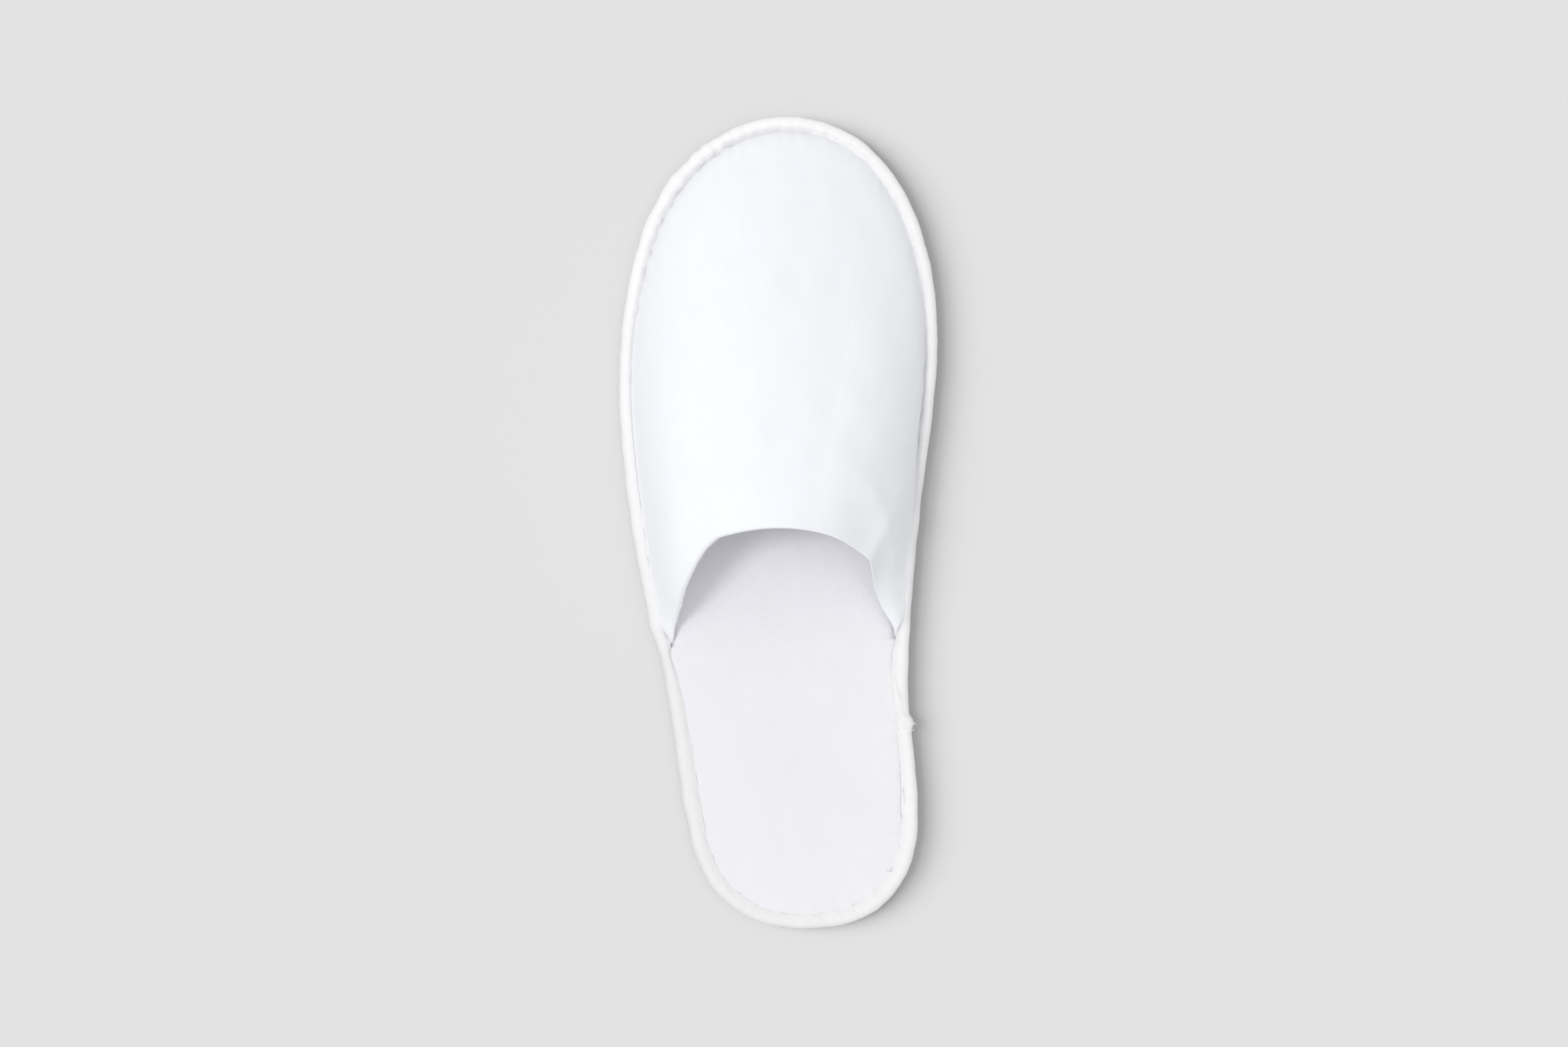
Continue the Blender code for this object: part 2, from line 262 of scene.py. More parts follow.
def smooth_curve(knots, closed, fine=96):
    """Dense points on the twice-smooth cubic through the knots, natural at the ends of an open curve."""
    knots = np.asarray(knots, float)
    count = len(knots)
    spans = count if closed else count - 1
    ahead = np.roll(knots, -1, axis=0)
    length = np.linalg.norm(ahead - knots, axis=1)
    slope = (ahead - knots) / np.maximum(length, 1e-9)[:, None]
    matrix = np.eye(count)
    bend = np.zeros_like(knots)
    for i in range(count) if closed else range(1, count - 1):
        matrix[i, i] = 2 * (length[i - 1] + length[i])
        matrix[i, i - 1] = length[i - 1]
        matrix[i, (i + 1) % count] = length[i]
        bend[i] = 6 * (slope[i] - slope[i - 1])
    curve = np.linalg.solve(matrix, bend)
    points = []
    for i in range(spans):
        j = (i + 1) % count
        t = np.arange(fine)[:, None] / fine * length[i]
        rest = length[i] - t
        cubic = (curve[i] * rest**3 + curve[j] * t**3) / (6 * length[i])
        line = (knots[i] / length[i] - curve[i] * length[i] / 6) * rest
        points.append(cubic + line + (knots[j] / length[i] - curve[j] * length[i] / 6) * t)
    if not closed:
        points.append(knots[-1:])
    return np.vstack(points)


class Track:
    """A dense line of points that is read by its length."""

    def __init__(self, points):
        self.points = points
        self.reach = np.concatenate([[0], np.cumsum(np.linalg.norm(np.diff(points, axis=0), axis=1))])
        self.length = self.reach[-1]

    def at(self, distance):
        """The points at these lengths."""
        return self.read(distance, self.points)

    def read(self, distance, rows):
        """The rows' values at each length, for rows that go one with each point."""
        return np.stack([np.interp(distance, self.reach, column) for column in rows.T], axis=-1)


def sole_outline():
    """The closed outer edge, from the toe's tip round the lateral side to the heel and back."""
    lateral = [(-row.lateral * BALL_WIDTH, (row.along - 0.5) * LENGTH) for row in SECTIONS]
    medial = [(row.medial * BALL_WIDTH, (row.along - 0.5) * LENGTH) for row in SECTIONS]
    toe = (TOE_TIP_ACROSS * BALL_WIDTH, 0.5 * LENGTH)
    heel = (HEEL_TIP_ACROSS * BALL_WIDTH, -0.5 * LENGTH)
    points = smooth_curve([toe, *reversed(lateral), heel, *medial], closed=True)
    low, high = points.min(axis=0), points.max(axis=0)
    points = (points - (low + high) / 2) * np.array([BALL_WIDTH, LENGTH]) / (high - low)
    return np.roll(points, -int(points[:, 1].argmax()), axis=0)


class Edge(Track):
    """The sole's edge, read by its length from the toe's tip over the lateral side."""

    def __init__(self):
        outline = sole_outline()
        run = np.roll(outline, -1, axis=0) - np.roll(outline, 1, axis=0)
        run /= np.linalg.norm(run, axis=1)[:, None]
        inward = np.stack([-run[:, 1], run[:, 0]], axis=1)
        super().__init__(np.vstack([outline, outline[:1]]))
        self.inward = np.vstack([inward, inward[:1]])
        self.turn = int(outline[:, 1].argmin())
        self.heel = self.reach[self.turn]

    def inside(self, distance, inset):
        """The points at these lengths round the edge, moved in from the tape's outer face."""
        around = np.asarray(distance) % self.length
        return self.at(around) + np.asarray(inset)[..., None] * self.read(around, self.inward)

    def side(self, along, medial):
        """The length round the edge at which the given side passes a share of the sole's length."""
        y = (along - 0.5) * LENGTH
        heights = self.points[:, 1]
        if medial:
            return float(np.interp(y, heights[self.turn :], self.reach[self.turn :]))
        return float(np.interp(-y, -heights[: self.turn + 1], self.reach[: self.turn + 1]))


EDGE = Edge()
LATERAL_WING = EDGE.side(WING_END, medial=False)
MEDIAL_WING = EDGE.side(WING_END, medial=True)


def station(column, around):
    """A column of the tape's stations at any length round the edge, eased from one station to the next."""
    places = np.array([row.around for row in STATIONS] + [1 + STATIONS[0].around]) * EDGE.length
    values = [getattr(row, column) for row in STATIONS]
    values = np.array(values + values[:1])
    around = np.asarray(around) % EDGE.length
    index = np.clip(np.searchsorted(places, around, side="right") - 1, 0, len(places) - 2)
    t = (around - places[index]) / (places[index + 1] - places[index])
    return mix(values[index], values[index + 1], smooth(t))


def ripple(around, wave):
    """The height of a wave's crests and dips round the edge, which close on themselves."""
    chance = np.random.default_rng(wave.seed)
    around = np.asarray(around, float)
    total = np.zeros_like(around)
    for turns in (chance.uniform(*RIPPLE_TURNS, RIPPLE_WAVES) * EDGE.length / wave.pitch).round():
        total += np.sin(2 * math.pi * (turns * around / EDGE.length + chance.random()))
    height = wave.even + wave.gathered * station("gather", around)
    return height * total / math.sqrt(RIPPLE_WAVES / 2)


def swell(x, y, rows):
    """Uneven soft swells over the plan of the shoe."""
    height = np.zeros(np.broadcast(x, y).shape)
    for row in rows:
        chance = np.random.default_rng(row.seed)
        total = np.zeros_like(height)
        for _ in range(SWELL_WAVES):
            heading = chance.uniform(0, math.pi)
            rate = 2 * math.pi / (row.pitch * chance.uniform(*SWELL_PITCHES))
            phase = rate * (x * math.cos(heading) + y * math.sin(heading))
            total += np.sin(phase + 2 * math.pi * chance.random())
        height += row.height * total / math.sqrt(SWELL_WAVES / 2)
    return height


def sheet_normals(grid, closed):
    """Unit normals of a grid of points, whose first direction may close on itself."""
    if closed:
        along = np.roll(grid, -1, axis=0) - np.roll(grid, 1, axis=0)
    else:
        along = np.gradient(grid, axis=0)
    normals = np.cross(along, np.gradient(grid, axis=1))
    return normals / np.maximum(np.linalg.norm(normals, axis=2), 1e-12)[..., None]


def upward_normals(grid):
    """Unit normals of an open sheet, on its upper side."""
    normals = sheet_normals(grid, closed=False)
    return normals * np.sign(normals[..., 2].mean())


def lengths_along(grid):
    """How far each point of a grid lies along its row from the row's first point."""
    steps = np.linalg.norm(np.diff(grid, axis=1), axis=2)
    return np.concatenate([np.zeros((len(grid), 1)), np.cumsum(steps, axis=1)], axis=1)


def add_object(name, data):
    """A new object in the scene."""
    made = bpy.data.objects.new(name, data)
    bpy.context.scene.collection.objects.link(made)
    return made


def cell_corners(grid):
    """The four corners of each cell of a grid, in turn."""
    return np.stack([grid[:-1, :-1], grid[1:, :-1], grid[1:, 1:], grid[:-1, 1:]], axis=2)


def make_piece(name, grid, finish, along=False, across=False, flat=None, caps=(), round_trip=0.0):
    """A smooth mesh object from a grid of points that closes on itself along its rows, across them or both.

    flat gives each point its place on the cut cloth, and round_trip is how much further along the cut the
    first row lies when it is met again at the end.
    """
    rows, columns = grid.shape[:2]
    index = np.arange(rows * columns).reshape(rows, columns)
    if along:
        index = np.vstack([index, index[:1]])
    if across:
        index = np.hstack([index, index[:, :1]])
    faces = [tuple(face) for face in cell_corners(index).reshape(-1, 4).tolist()]
    for cap in caps:
        faces.extend(cap)
    mesh = bpy.data.meshes.new(name)
    mesh.from_pydata(grid.reshape(-1, 3).tolist(), [], faces)
    if flat is not None:
        wide = flat
        if along:
            wide = np.concatenate([wide, wide[:1] + np.array([round_trip, 0])], axis=0)
        if across:
            wide = np.concatenate([wide, wide[:, :1]], axis=1)
        places = cell_corners(wide).reshape(-1, 2)
        spots = flat.reshape(-1, 2)
        ends = [spots[number] for cap in caps for face in cap for number in face]
        places = np.vstack([places, *(np.array(ends)[None] if ends else [])])
        layer = mesh.uv_layers.new(name="cut")
        layer.data.foreach_set("uv", places.astype(np.float32).ravel())
    obj = add_object(name, mesh)
    face_outwards(obj)
    mesh.materials.append(finish)
    mesh.shade_smooth()
    return obj


def face_outwards(obj):
    """Turns every face of a closed mesh outwards."""
    bm = bmesh.new()
    bm.from_mesh(obj.data)
    bmesh.ops.recalc_face_normals(bm, faces=bm.faces)
    bm.to_mesh(obj.data)
    bm.free()


def ladder(ring):
    """Faces that close a ring of point numbers, between the points that face each other across it."""
    count = len(ring)
    faces = []
    for i in range(count // 2):
        corners = [ring[i], ring[i + 1], ring[count - i - 1], ring[(count - i) % count]]
        faces.append(tuple(dict.fromkeys(corners)))
    return faces


def layer_piece(name, rings, finish, cut=False):
    """A closed layer of the sole and its grid, from rings that run from its base round its rim to its top."""
    grid = np.stack(rings, axis=1)
    count, size = grid.shape[:2]
    caps = [ladder([i * size + end for i in range(count)]) for end in (0, size - 1)]
    flat = grid[..., :2] if cut else None
    return make_piece(name, grid, finish, along=True, flat=flat, caps=caps), grid


def carry(piece, name, values):
    """Stores a number at each of the piece's points, for its finish."""
    layer = piece.data.attributes.new(name, "FLOAT", "POINT")
    layer.data.foreach_set("value", np.asarray(values, np.float32).ravel())


# Finishes.


class Wire:
    """An output socket in a node tree. Arithmetic on it adds Math nodes."""

    def __init__(self, net, socket):
        self.net = net
        self.socket = socket

    def __add__(self, other):
        return self.net.math("ADD", self, other)

    def __radd__(self, other):
        return self.net.math("ADD", other, self)

    def __sub__(self, other):
        return self.net.math("SUBTRACT", self, other)

    def __rsub__(self, other):
        return self.net.math("SUBTRACT", other, self)

    def __mul__(self, other):
        return self.net.math("MULTIPLY", self, other)

    def __rmul__(self, other):
        return self.net.math("MULTIPLY", other, self)

    def __truediv__(self, other):
        return self.net.math("DIVIDE", self, other)

    def __rtruediv__(self, other):
        return self.net.math("DIVIDE", other, self)

    def sine(self):
        return self.net.math("SINE", self)

    def size(self):
        return self.net.math("ABSOLUTE", self)

    def part(self):
        return self.net.math("FRACT", self)

    def at_most(self, other):
        return self.net.math("MINIMUM", self, other)

    def eased(self, low, high):
        """Zero below low, one above high, and smooth between."""
        values = {"Value": self, "From Min": low, "From Max": high}
        return self.net.node("ShaderNodeMapRange", {"interpolation_type": "SMOOTHSTEP"}, values)

    def parts(self):
        """The first two numbers of a vector."""
        split = self.net.node("ShaderNodeSeparateXYZ", None, {0: self})
        return split, Wire(self.net, split.socket.node.outputs[1])


class Net:
    """A node tree, added to by expressions on its wires."""

    def __init__(self, tree):
        self.tree = tree

    def node(self, kind, settings=None, inputs=None, output=0):
        """The wire of one output of a new node, whose settings are made before its sockets are fed."""
        made = self.tree.nodes.new(kind)
        for name, value in (settings or {}).items():
            setattr(made, name, value)
        for name, value in (inputs or {}).items():
            if isinstance(value, Wire):
                self.tree.links.new(value.socket, made.inputs[name])
            else:
                made.inputs[name].default_value = value
        return Wire(self, made.outputs[output])

    def math(self, operation, *values):
        """The wire of a new Math node."""
        return self.node("ShaderNodeMath", {"operation": operation}, dict(enumerate(values)))


MIX_COLOURS = {"data_type": "RGBA"}
MIX_A = 6
MIX_B = 7
MIX_OUT = 2


class Finish(Net):
    """A material whose looks are written as expressions."""

    def __init__(self, name, roughness, sheen=0.0, sheen_roughness=0.5, specular=0.3):
        self.material = bpy.data.materials.new(name)
        self.material.use_nodes = True
        super().__init__(self.material.node_tree)
        self.surface = self.tree.nodes["Principled BSDF"]
        self.surface.inputs["Roughness"].default_value = roughness
        self.surface.inputs["Sheen Weight"].default_value = sheen
        self.surface.inputs["Sheen Roughness"].default_value = sheen_roughness
        self.surface.inputs["Specular IOR Level"].default_value = specular

    def place(self):
        """The point's place in the shoe's own frame."""
        return self.node("ShaderNodeTexCoord", output="Object")

    def cut(self):
        """The point's place on the cut cloth, along and across it, in metres."""
        return self.node("ShaderNodeUVMap", {"uv_map": "cut"}).parts()

    def noise(self, pitch, detail=2.0, roughness=0.5, where=None, distortion=0.0):
        """Soft noise between zero and one, whose lumps are about this far apart."""
        inputs = {"Scale": 1 / pitch, "Detail": detail, "Roughness": roughness, "Distortion": distortion}
        inputs["Vector"] = self.place() if where is None else where
        return self.node("ShaderNodeTexNoise", None, inputs)

    def stretched(self, x, y, z):
        """The shoe's frame, squeezed along its axes, so that noise on it draws out into fibres."""
        return self.node("ShaderNodeMapping", None, {"Vector": self.place(), "Scale": (x, y, z)})

    def blend(self, mask, low, high):
        """A colour between two, by a mask from zero to one. A colour is three numbers or a wire."""
        inputs = {"Factor": mask}
        for socket, colour in ((MIX_A, low), (MIX_B, high)):
            inputs[socket] = colour if isinstance(colour, Wire) else (*colour, 1)
        return self.node("ShaderNodeMix", MIX_COLOURS, inputs, MIX_OUT)

    def attribute(self, name):
        """A number that the mesh carries at each point."""
        return self.node("ShaderNodeAttribute", {"attribute_name": name}, output="Fac")

    def feed(self, socket, wire):
        """Links a wire to a socket of the surface."""
        self.tree.links.new(wire.socket, self.surface.inputs[socket])

    def relief(self, height, depth):
        """Raises the surface by a height from zero to one, times a depth in metres."""
        settings = {"Height": height, "Distance": depth, "Strength": 1.0}
        self.feed("Normal", self.node("ShaderNodeBump", None, settings))


def knit(along, across, pitch):
    """The height of a fine knit: columns of small slanted loops."""
    column = (along / pitch).part() - 0.5
    slant = (column.size() * 1.1 + across / (0.8 * pitch)).part() - 0.5
    loop = 1 - (slant * slant) * 3.2
    gutter = 1 - (column * column) * 3.0
    return loop * gutter


def cloth_finish(name, light, dark, pitch, nap, sheen):
    """Brushed foam-backed cloth: a fine knit under a short nap, slightly uneven in tone."""
    finish = Finish(name, roughness=0.92, sheen=sheen, sheen_roughness=0.45, specular=0.18)
    along, across = finish.cut()
    weave = knit(along, across, pitch)
    fibres = finish.noise(pitch=0.00022, detail=3.0, roughness=0.65, where=finish.stretched(1, 0.45, 1))
    lumps = finish.noise(pitch=0.0016, detail=3.0, roughness=0.55)
    drift = finish.noise(pitch=0.030, detail=2.0)
    nap_run = finish.stretched(1, 0.6, 1)
    brushed = finish.noise(pitch=0.0065, detail=4.0, roughness=0.6, where=nap_run, distortion=0.4)
    height = weave * (1 - nap) + fibres * nap + lumps * 0.35 + brushed * 0.2
    mask = (height * 0.30 + drift * 0.35 + brushed * 0.35).eased(0.22, 0.85)
    tone = finish.blend(mask, dark, light)
    # Painted shade along the upper's foot, and a faint darker patch on the footbed's heel, blend the colour
    # towards a darker tone.
    painted_shade_and_darker_tone = finish.attribute("wear_and_painted_shade") * (0.55 + 0.9 * lumps)
    finish.feed("Base Color", finish.blend(painted_shade_and_darker_tone.at_most(1.0), tone, [0.90 * part for part in dark]))
    finish.feed("Roughness", 0.86 + 0.1 * brushed)
    finish.relief(height, depth=0.00006)
    return finish.material


WEFT_PITCH = 0.00052
WARP_PITCH = 0.00060


def tape_finish():
    """A soft woven tape: fine cross ribs between straight warp threads."""
    finish = Finish("woven_tape", roughness=0.88, sheen=0.18, sheen_roughness=0.4, specular=0.22)
    along, across = finish.cut()
    wander = finish.noise(pitch=0.004, detail=2.0)
    weft = (along * (2 * math.pi / WEFT_PITCH) + wander * 1.6).sine()
    warp = (across * (2 * math.pi / WARP_PITCH) + wander * 1.2).sine()
    over = (weft * warp) * 0.5 + 0.5
    fuzz = finish.noise(pitch=0.00025, detail=3.0, roughness=0.7)
    lumps = finish.noise(pitch=0.0022, detail=3.0, roughness=0.6)
    height = over * 0.6 + fuzz * 0.45 + lumps * 0.4
    drift = finish.noise(pitch=0.022, detail=2.0)
    mask = (height * 0.45 + drift * 0.5).eased(0.2, 0.9)
    tone = finish.blend(mask, (0.930, 0.928, 0.928), (0.962, 0.960, 0.960))
    # Painted shade: the stations' last column darkens the tape where the upper's flanks lie over it, and
    # gives it a darker tone round the heel.
    tone = finish.blend(finish.attribute("dull"), tone, (0.800, 0.797, 0.797))
    # The tape is a little darker towards the floor, and painted shade darkens it towards the seam's groove.
    painted_shade_and_darker_tone = (finish.attribute("wear_and_painted_shade") * (0.4 + lumps)).at_most(1.0)
    finish.feed("Base Color", finish.blend(painted_shade_and_darker_tone, tone, (0.80, 0.796, 0.806)))
    finish.feed("Roughness", 0.82 + 0.12 * fuzz)
    finish.relief(height, depth=0.00011)
    return finish.material


PORES_PER_METRE = 1900.0
LATTICE_PITCH = 0.0046


def foam_finish():
    """Closed-cell foam: a skin with fine pores and a shallow pressed lattice against slipping."""
    finish = Finish("sole_foam", roughness=0.62, specular=0.35)
    places = {"Vector": finish.place(), "Scale": PORES_PER_METRE}
    cells = finish.node("ShaderNodeTexVoronoi", {"feature": "F1"}, places)
    pores = 1 - cells.eased(0.0, 0.62)
    x, y = finish.place().parts()
    rate = 2 * math.pi / LATTICE_PITCH
    lattice = ((x + y) * rate).sine() * ((x - y) * rate).sine()
    pressed = lattice.size().eased(0.02, 0.30)
    drift = finish.noise(pitch=0.018, detail=4.0, roughness=0.6)
    scuffs = finish.noise(pitch=0.0035, detail=5.0, roughness=0.7, where=finish.stretched(1, 0.22, 1))
    tone = finish.blend(drift.eased(0.25, 0.8), (0.735, 0.735, 0.725), (0.80, 0.80, 0.795))
    tone = finish.blend(pores * 0.35, tone, (0.62, 0.62, 0.61))
    worn = finish.attribute("wear_and_painted_shade") * scuffs.eased(0.35, 0.75)
    finish.feed("Base Color", finish.blend(worn * 0.6, tone, (0.60, 0.595, 0.58)))
    finish.feed("Roughness", 0.52 + 0.2 * scuffs + 0.1 * pores)
    finish.relief(pressed * 0.7 - pores * 0.25 + scuffs * 0.15, depth=0.00022)
    return finish.material


def thread_finish():
    """Spun sewing thread, a little shinier than the cloth."""
    finish = Finish("sewing_thread", roughness=0.6, sheen=0.1, specular=0.4)
    twist = finish.noise(pitch=0.00030, detail=2.0, where=finish.stretched(1.0, 0.5, 1.0))
    finish.feed("Base Color", finish.blend(twist, (0.82, 0.82, 0.82), (0.93, 0.93, 0.93)))
    finish.feed("Roughness", 0.5 + 0.25 * twist)
    finish.relief(twist, depth=0.00008)
    return finish.material


def floor_finish():
    """A plain pale studio floor."""
    finish = Finish("studio_floor", roughness=0.85, specular=0.2)
    grain = finish.noise(pitch=0.25, detail=2.0)
    finish.feed("Base Color", finish.blend(grain, (0.397, 0.397, 0.400), (0.403, 0.403, 0.405)))
    return finish.material


# Shapes.


def throat_track():
    """The throat's edge in space, between the two wing ends."""
    ends = [(*EDGE.inside(end, WING_INSET), SEAM_TOP + WING_RISE) for end in (LATERAL_WING, MEDIAL_WING)]
    rise = INSTEP_HEIGHT - SEAM_TOP
    middle = []
    for row in THROAT:
        middle.append((row.across * BALL_WIDTH, (row.along - 0.5) * LENGTH, SEAM_TOP + row.height * rise))
    return Track(smooth_curve([ends[0], *middle, ends[1]], closed=False))


def throat_share(share, wing_pace):
    """The share of the throat that faces a share of the seam; wing_pace is its pace at the wing ends."""
    even = (THROAT_FANNING - wing_pace) / (THROAT_FANNING - 1)
    half = np.minimum(share, 1 - share)
    facing = even * half + 0.5 * (1 - even) * (1 - (1 - 2 * half) ** THROAT_FANNING)
    return np.where(share < 0.5, facing, 1 - facing)


def bulge(share, part, climb, height):
    """How far a flank of this height stands out over the tape; the toe, throat and wing ends do not."""
    out = swelling(np.clip(climb - BULGE_START, 0, None), BULGE_HEIGHT)
    most = np.where(share < 0.5, LATERAL_BULGE, MEDIAL_BULGE)
    flank = 1 - np.sin(math.pi * share) ** BULGE_TOE_FADE
    low = 1 - part**BULGE_THROAT_FADE
    return most * out * flank * low * np.minimum(1.0, height / BULGE_FULL) ** 2


def fold_rise(x, y):
    """How far the upper's folds lift or sink its cloth at each place of its plan."""
    total = np.zeros_like(x)
    for fold in FOLDS:
        points = [(across * BALL_WIDTH, (along - 0.5) * LENGTH) for across, along in fold.points]
        line = Track(smooth_curve(points, closed=False, fine=FOLD_POINTS))
        away = np.hypot(x[..., None] - line.points[:, 0], y[..., None] - line.points[:, 1])
        nearest = away.argmin(axis=-1)
        share = line.reach[nearest] / line.length
        strength = np.sin(math.pi * mix(FOLD_FADE, 1 - FOLD_FADE, share)) ** FOLD_FADE_POWER
        away = away.min(axis=-1)
        if fold.crest:
            shape = np.exp(-(np.hypot(away, fold.crest) - fold.crest) / fold.width)
        else:
            shape = bump_up(away, fold.width)
        total += fold.rise * strength * shape
    return total


# The folded tape's outer face: how deep and how square its fold is, and the fall of its sewn edge.
FOLD_DEPTH = 0.0031
FOLD_POWER = 2.5
LEG_TURN = 0.00014
EDGE_FALL = 0.00005
GROOVE_FALL = 0.00120
FALL_FROM = 0.0018
PULL_MEAN = 0.85
PULL_LIMITS = (0.2, 1.4)


def tape_width(around):
    """How far the tape reaches in on top, from its outer face."""
    return station("width", around) + ripple(around, TAPE_WIDTH_WANDER) + ripple(around, TAPE_WIDTH_GATHER)


def edge_move(around):
    """How far the tape's sewn edge is pushed up, less how far the seam draws it down into its groove."""
    lift = station("lift", around) + ripple(around, TAPE_LIFT_WAVE)
    pull = np.clip(PULL_MEAN + ripple(around, SEAM_PULL), *PULL_LIMITS)
    return lift - (EDGE_FALL + GROOVE_FALL * station("groove", around) * pull)


def tape_level(inset):
    """The height of the folded tape's outer face at an inset, before its fall and the toe's spring."""
    middle = (TAPE_FLOOR + TAPE_TOP) / 2
    across = np.clip(1 - inset / FOLD_DEPTH, 0, 1)
    return middle + (TAPE_TOP - middle) * (1 - across**FOLD_POWER) ** (1 / FOLD_POWER)


def tape_slope(inset, edge, move):
    """How much of its sewn edge's move the tape has made at an inset. A fall is steepest at the edge."""
    share = part_way(inset, FALL_FROM, edge - FALL_FROM)
    return move * np.where(move < 0, share**2, smooth(share))


def foot_level(around):
    """The height at which the cloth beside the tape meets it, or where a flank lies over it."""
    width = tape_width(around)
    edge = np.maximum(width, FOLD_DEPTH + LEG_TURN)
    return tape_level(width) + tape_slope(width, edge, edge_move(around))


# The upper's mesh, whose rows crowd towards the seam.
UPPER_COLUMNS = 520
UPPER_ROWS = 84
ROW_CROWDING = 1.8
LEAST_HEIGHT = 0.0001

# Where the upper's cloth meets the tape, how soon it takes its own shape, and how much shade is painted at
# their join.
BASE_LEVEL = 0.0083
SEAM_EASE = 0.0016
FLANK_EASE = 0.0060
FOOT_TUCK = 0.00025
FOOT_DROP = 0.00015
FOOT_FADE = 4
FOOT_SHADE = 0.75
FOOT_SHADE_RUN = 0.0014
GATHER_REACH = 0.0022
GATHER_OUT = 0.6

# The rim and the foot keep clear of folds and swells over this run.
CALM_RUN = 0.010
CALM_RIM = 0.004


def flank_rise(share, part, toe_share):
    """How much of its height the upper has risen, part of the way from the seam to the throat."""
    medial = part_way(share, *MEDIAL_SIDE)
    flank = part_way(share, *MEDIAL_FLANK) * (1 - part_way(share, *MEDIAL_FLANK_END))
    wing_straight = mix(WING_STRAIGHT, MEDIAL_WING_STRAIGHT, medial)
    straight = mix(wing_straight, TOE_STRAIGHT, toe_share) + MEDIAL_STRAIGHT * flank
    toe_turn = mix(TOE_TURN, MEDIAL_TOE_TURN, medial)
    turn = mix(mix(WING_TURN, MEDIAL_WING_TURN, medial), toe_turn, toe_share)
    return mix(1 - (1 - part) ** turn, part, straight)


def upper_outside():
    """The upper's outer face: its columns from lateral wing to medial wing, each from seam to throat."""
    throat = throat_track()
    share = np.linspace(0, 1, UPPER_COLUMNS + 1)[:, None]
    t = np.linspace(0, 1, UPPER_ROWS + 1)[None, :]
    part = 0.5 * t**ROW_CROWDING + 0.5 * smooth(t)
    seam_length = LATERAL_WING + EDGE.length - MEDIAL_WING
    around = (LATERAL_WING - share * seam_length) % EDGE.length
    seam = EDGE.inside(around, SEAM_INSET)
    outward = (EDGE.inside(around, 0) - seam) / SEAM_INSET
    end = throat.at(throat_share(share, seam_length / throat.length) * throat.length)
    reach = np.linalg.norm(end[..., :2] - seam, axis=-1)
    away = part * reach
    base = np.minimum(BASE_LEVEL, end[..., 2] - LEAST_HEIGHT)
    height = end[..., 2] - base
    toe_share = np.sin(math.pi * share)
    puff = PUFF * toe_share * (1 - np.exp(-away / PUFF_RUN)) * (1 - part)
    climb = height * flank_rise(share, part, toe_share) + puff

    # Near its foot the cloth follows the tape's edge, and it is gathered there.
    from_foot = np.hypot(away, climb)
    fade = 1 - part**FOOT_FADE
    near = np.exp(-from_foot / SEAM_EASE) * fade
    eased = np.exp(-from_foot / mix(SEAM_EASE, FLANK_EASE, (1 - toe_share) ** 2)) * fade
    gather = ripple(around, CLOTH_GATHER)
    out = bulge(share, part, climb, height) + (SEAM_INSET - tape_width(around) + FOOT_TUCK) * eased
    out += GATHER_OUT * gather * near
    plan = mix(seam, end[..., :2], part[..., None]) + outward * out[..., None]
    x, y = plan[..., 0], plan[..., 1]
    foot = foot_level(around) - FOOT_DROP - base
    z = base + climb + foot * near + gather * swelling(away, GATHER_REACH) + rise_of_spring(y)
    points = np.stack([x, y, z], axis=-1)

    # Folds and swells move the face along its normals, and the wings' tips sink into the seam.
    calm = part_way(np.minimum(away, reach - away + CALM_RIM), 0, CALM_RUN)
    moved = (swell(x, y, UPPER_SWELLS) + fold_rise(x, y)) * calm * np.minimum(1, height / BULGE_FULL)
    points += upward_normals(points) * moved[..., None]
    from_tip = np.minimum(share, 1 - share) * seam_length
    points[..., 2] -= TIP_SINK * (1 - part_way(from_tip, 0, TIP_RUN)) ** TIP_POWER
    return points, around, part, reach


# The hem round the throat: its radius at the crown and on either side, and how deep the doubled cloth goes.
CROWN_HEM = 0.00110
LATERAL_HEM = 0.00160
MEDIAL_HEM = 0.00024
HEM_SIDE = 0.6
HEM_STEPS = 10
HEM_DEPTH = 0.0085
HEM_EASE = 1.25

# Wall and hem thin out over the last of each wing, to these shares.
WING_THIN_RUN = 0.012
WING_WALL = 0.50
WING_HEM = 0.35

# The lining's lowest level, and the flange that the tape covers.
LINING_SINK = 0.0012
UNDER_TAPE = 0.0012
FLANGE_LEAST = 0.0030
FLANGE_SINK = 0.0002
FLANGE_CLOTH = 0.0009


def hem_radius(wing):
    """The rolled hem's radius at each column, from wing to wing."""
    side = np.linspace(-1, 1, len(wing))
    radius = mix(CROWN_HEM, LATERAL_HEM, part_way(-side, 0, HEM_SIDE) ** 2)
    radius += (MEDIAL_HEM - CROWN_HEM) * part_way(side, 0, HEM_SIDE)
    return radius * mix(WING_HEM, 1, wing)


def hem_rings(outside, normals, hem):
    """The rolled hem, from the outer face round to the lining."""
    lead = outside[:, -1] - outside[:, -2]
    lead /= np.linalg.norm(lead, axis=1)[:, None]
    centre = outside[:, -1] - normals[:, -1] * hem[:, None]
    rings = []
    for step in range(1, HEM_STEPS):
        angle = math.pi * step / HEM_STEPS
        rings.append(centre + hem[:, None] * (normals[:, -1] * math.cos(angle) + lead * math.sin(angle)))
    return np.stack(rings, axis=1)


def cut_places(outside):
    """Where each point of the upper lay on the flat cloth: as far from the throat as it is along its face."""
    below = lengths_along(outside[:, ::-1])[:, ::-1]
    line = outside[:, :1, :2] - outside[:, -1:, :2]
    line /= np.maximum(np.linalg.norm(line, axis=2), 1e-9)[..., None]
    laid = outside[:, -1:, :2] + line * below[..., None]
    around_hem = np.repeat(laid[:, -1:], HEM_STEPS - 1, axis=1)
    return np.concatenate([laid[:, :1], laid, around_hem, laid[:, ::-1], laid[:, :1]], axis=1)


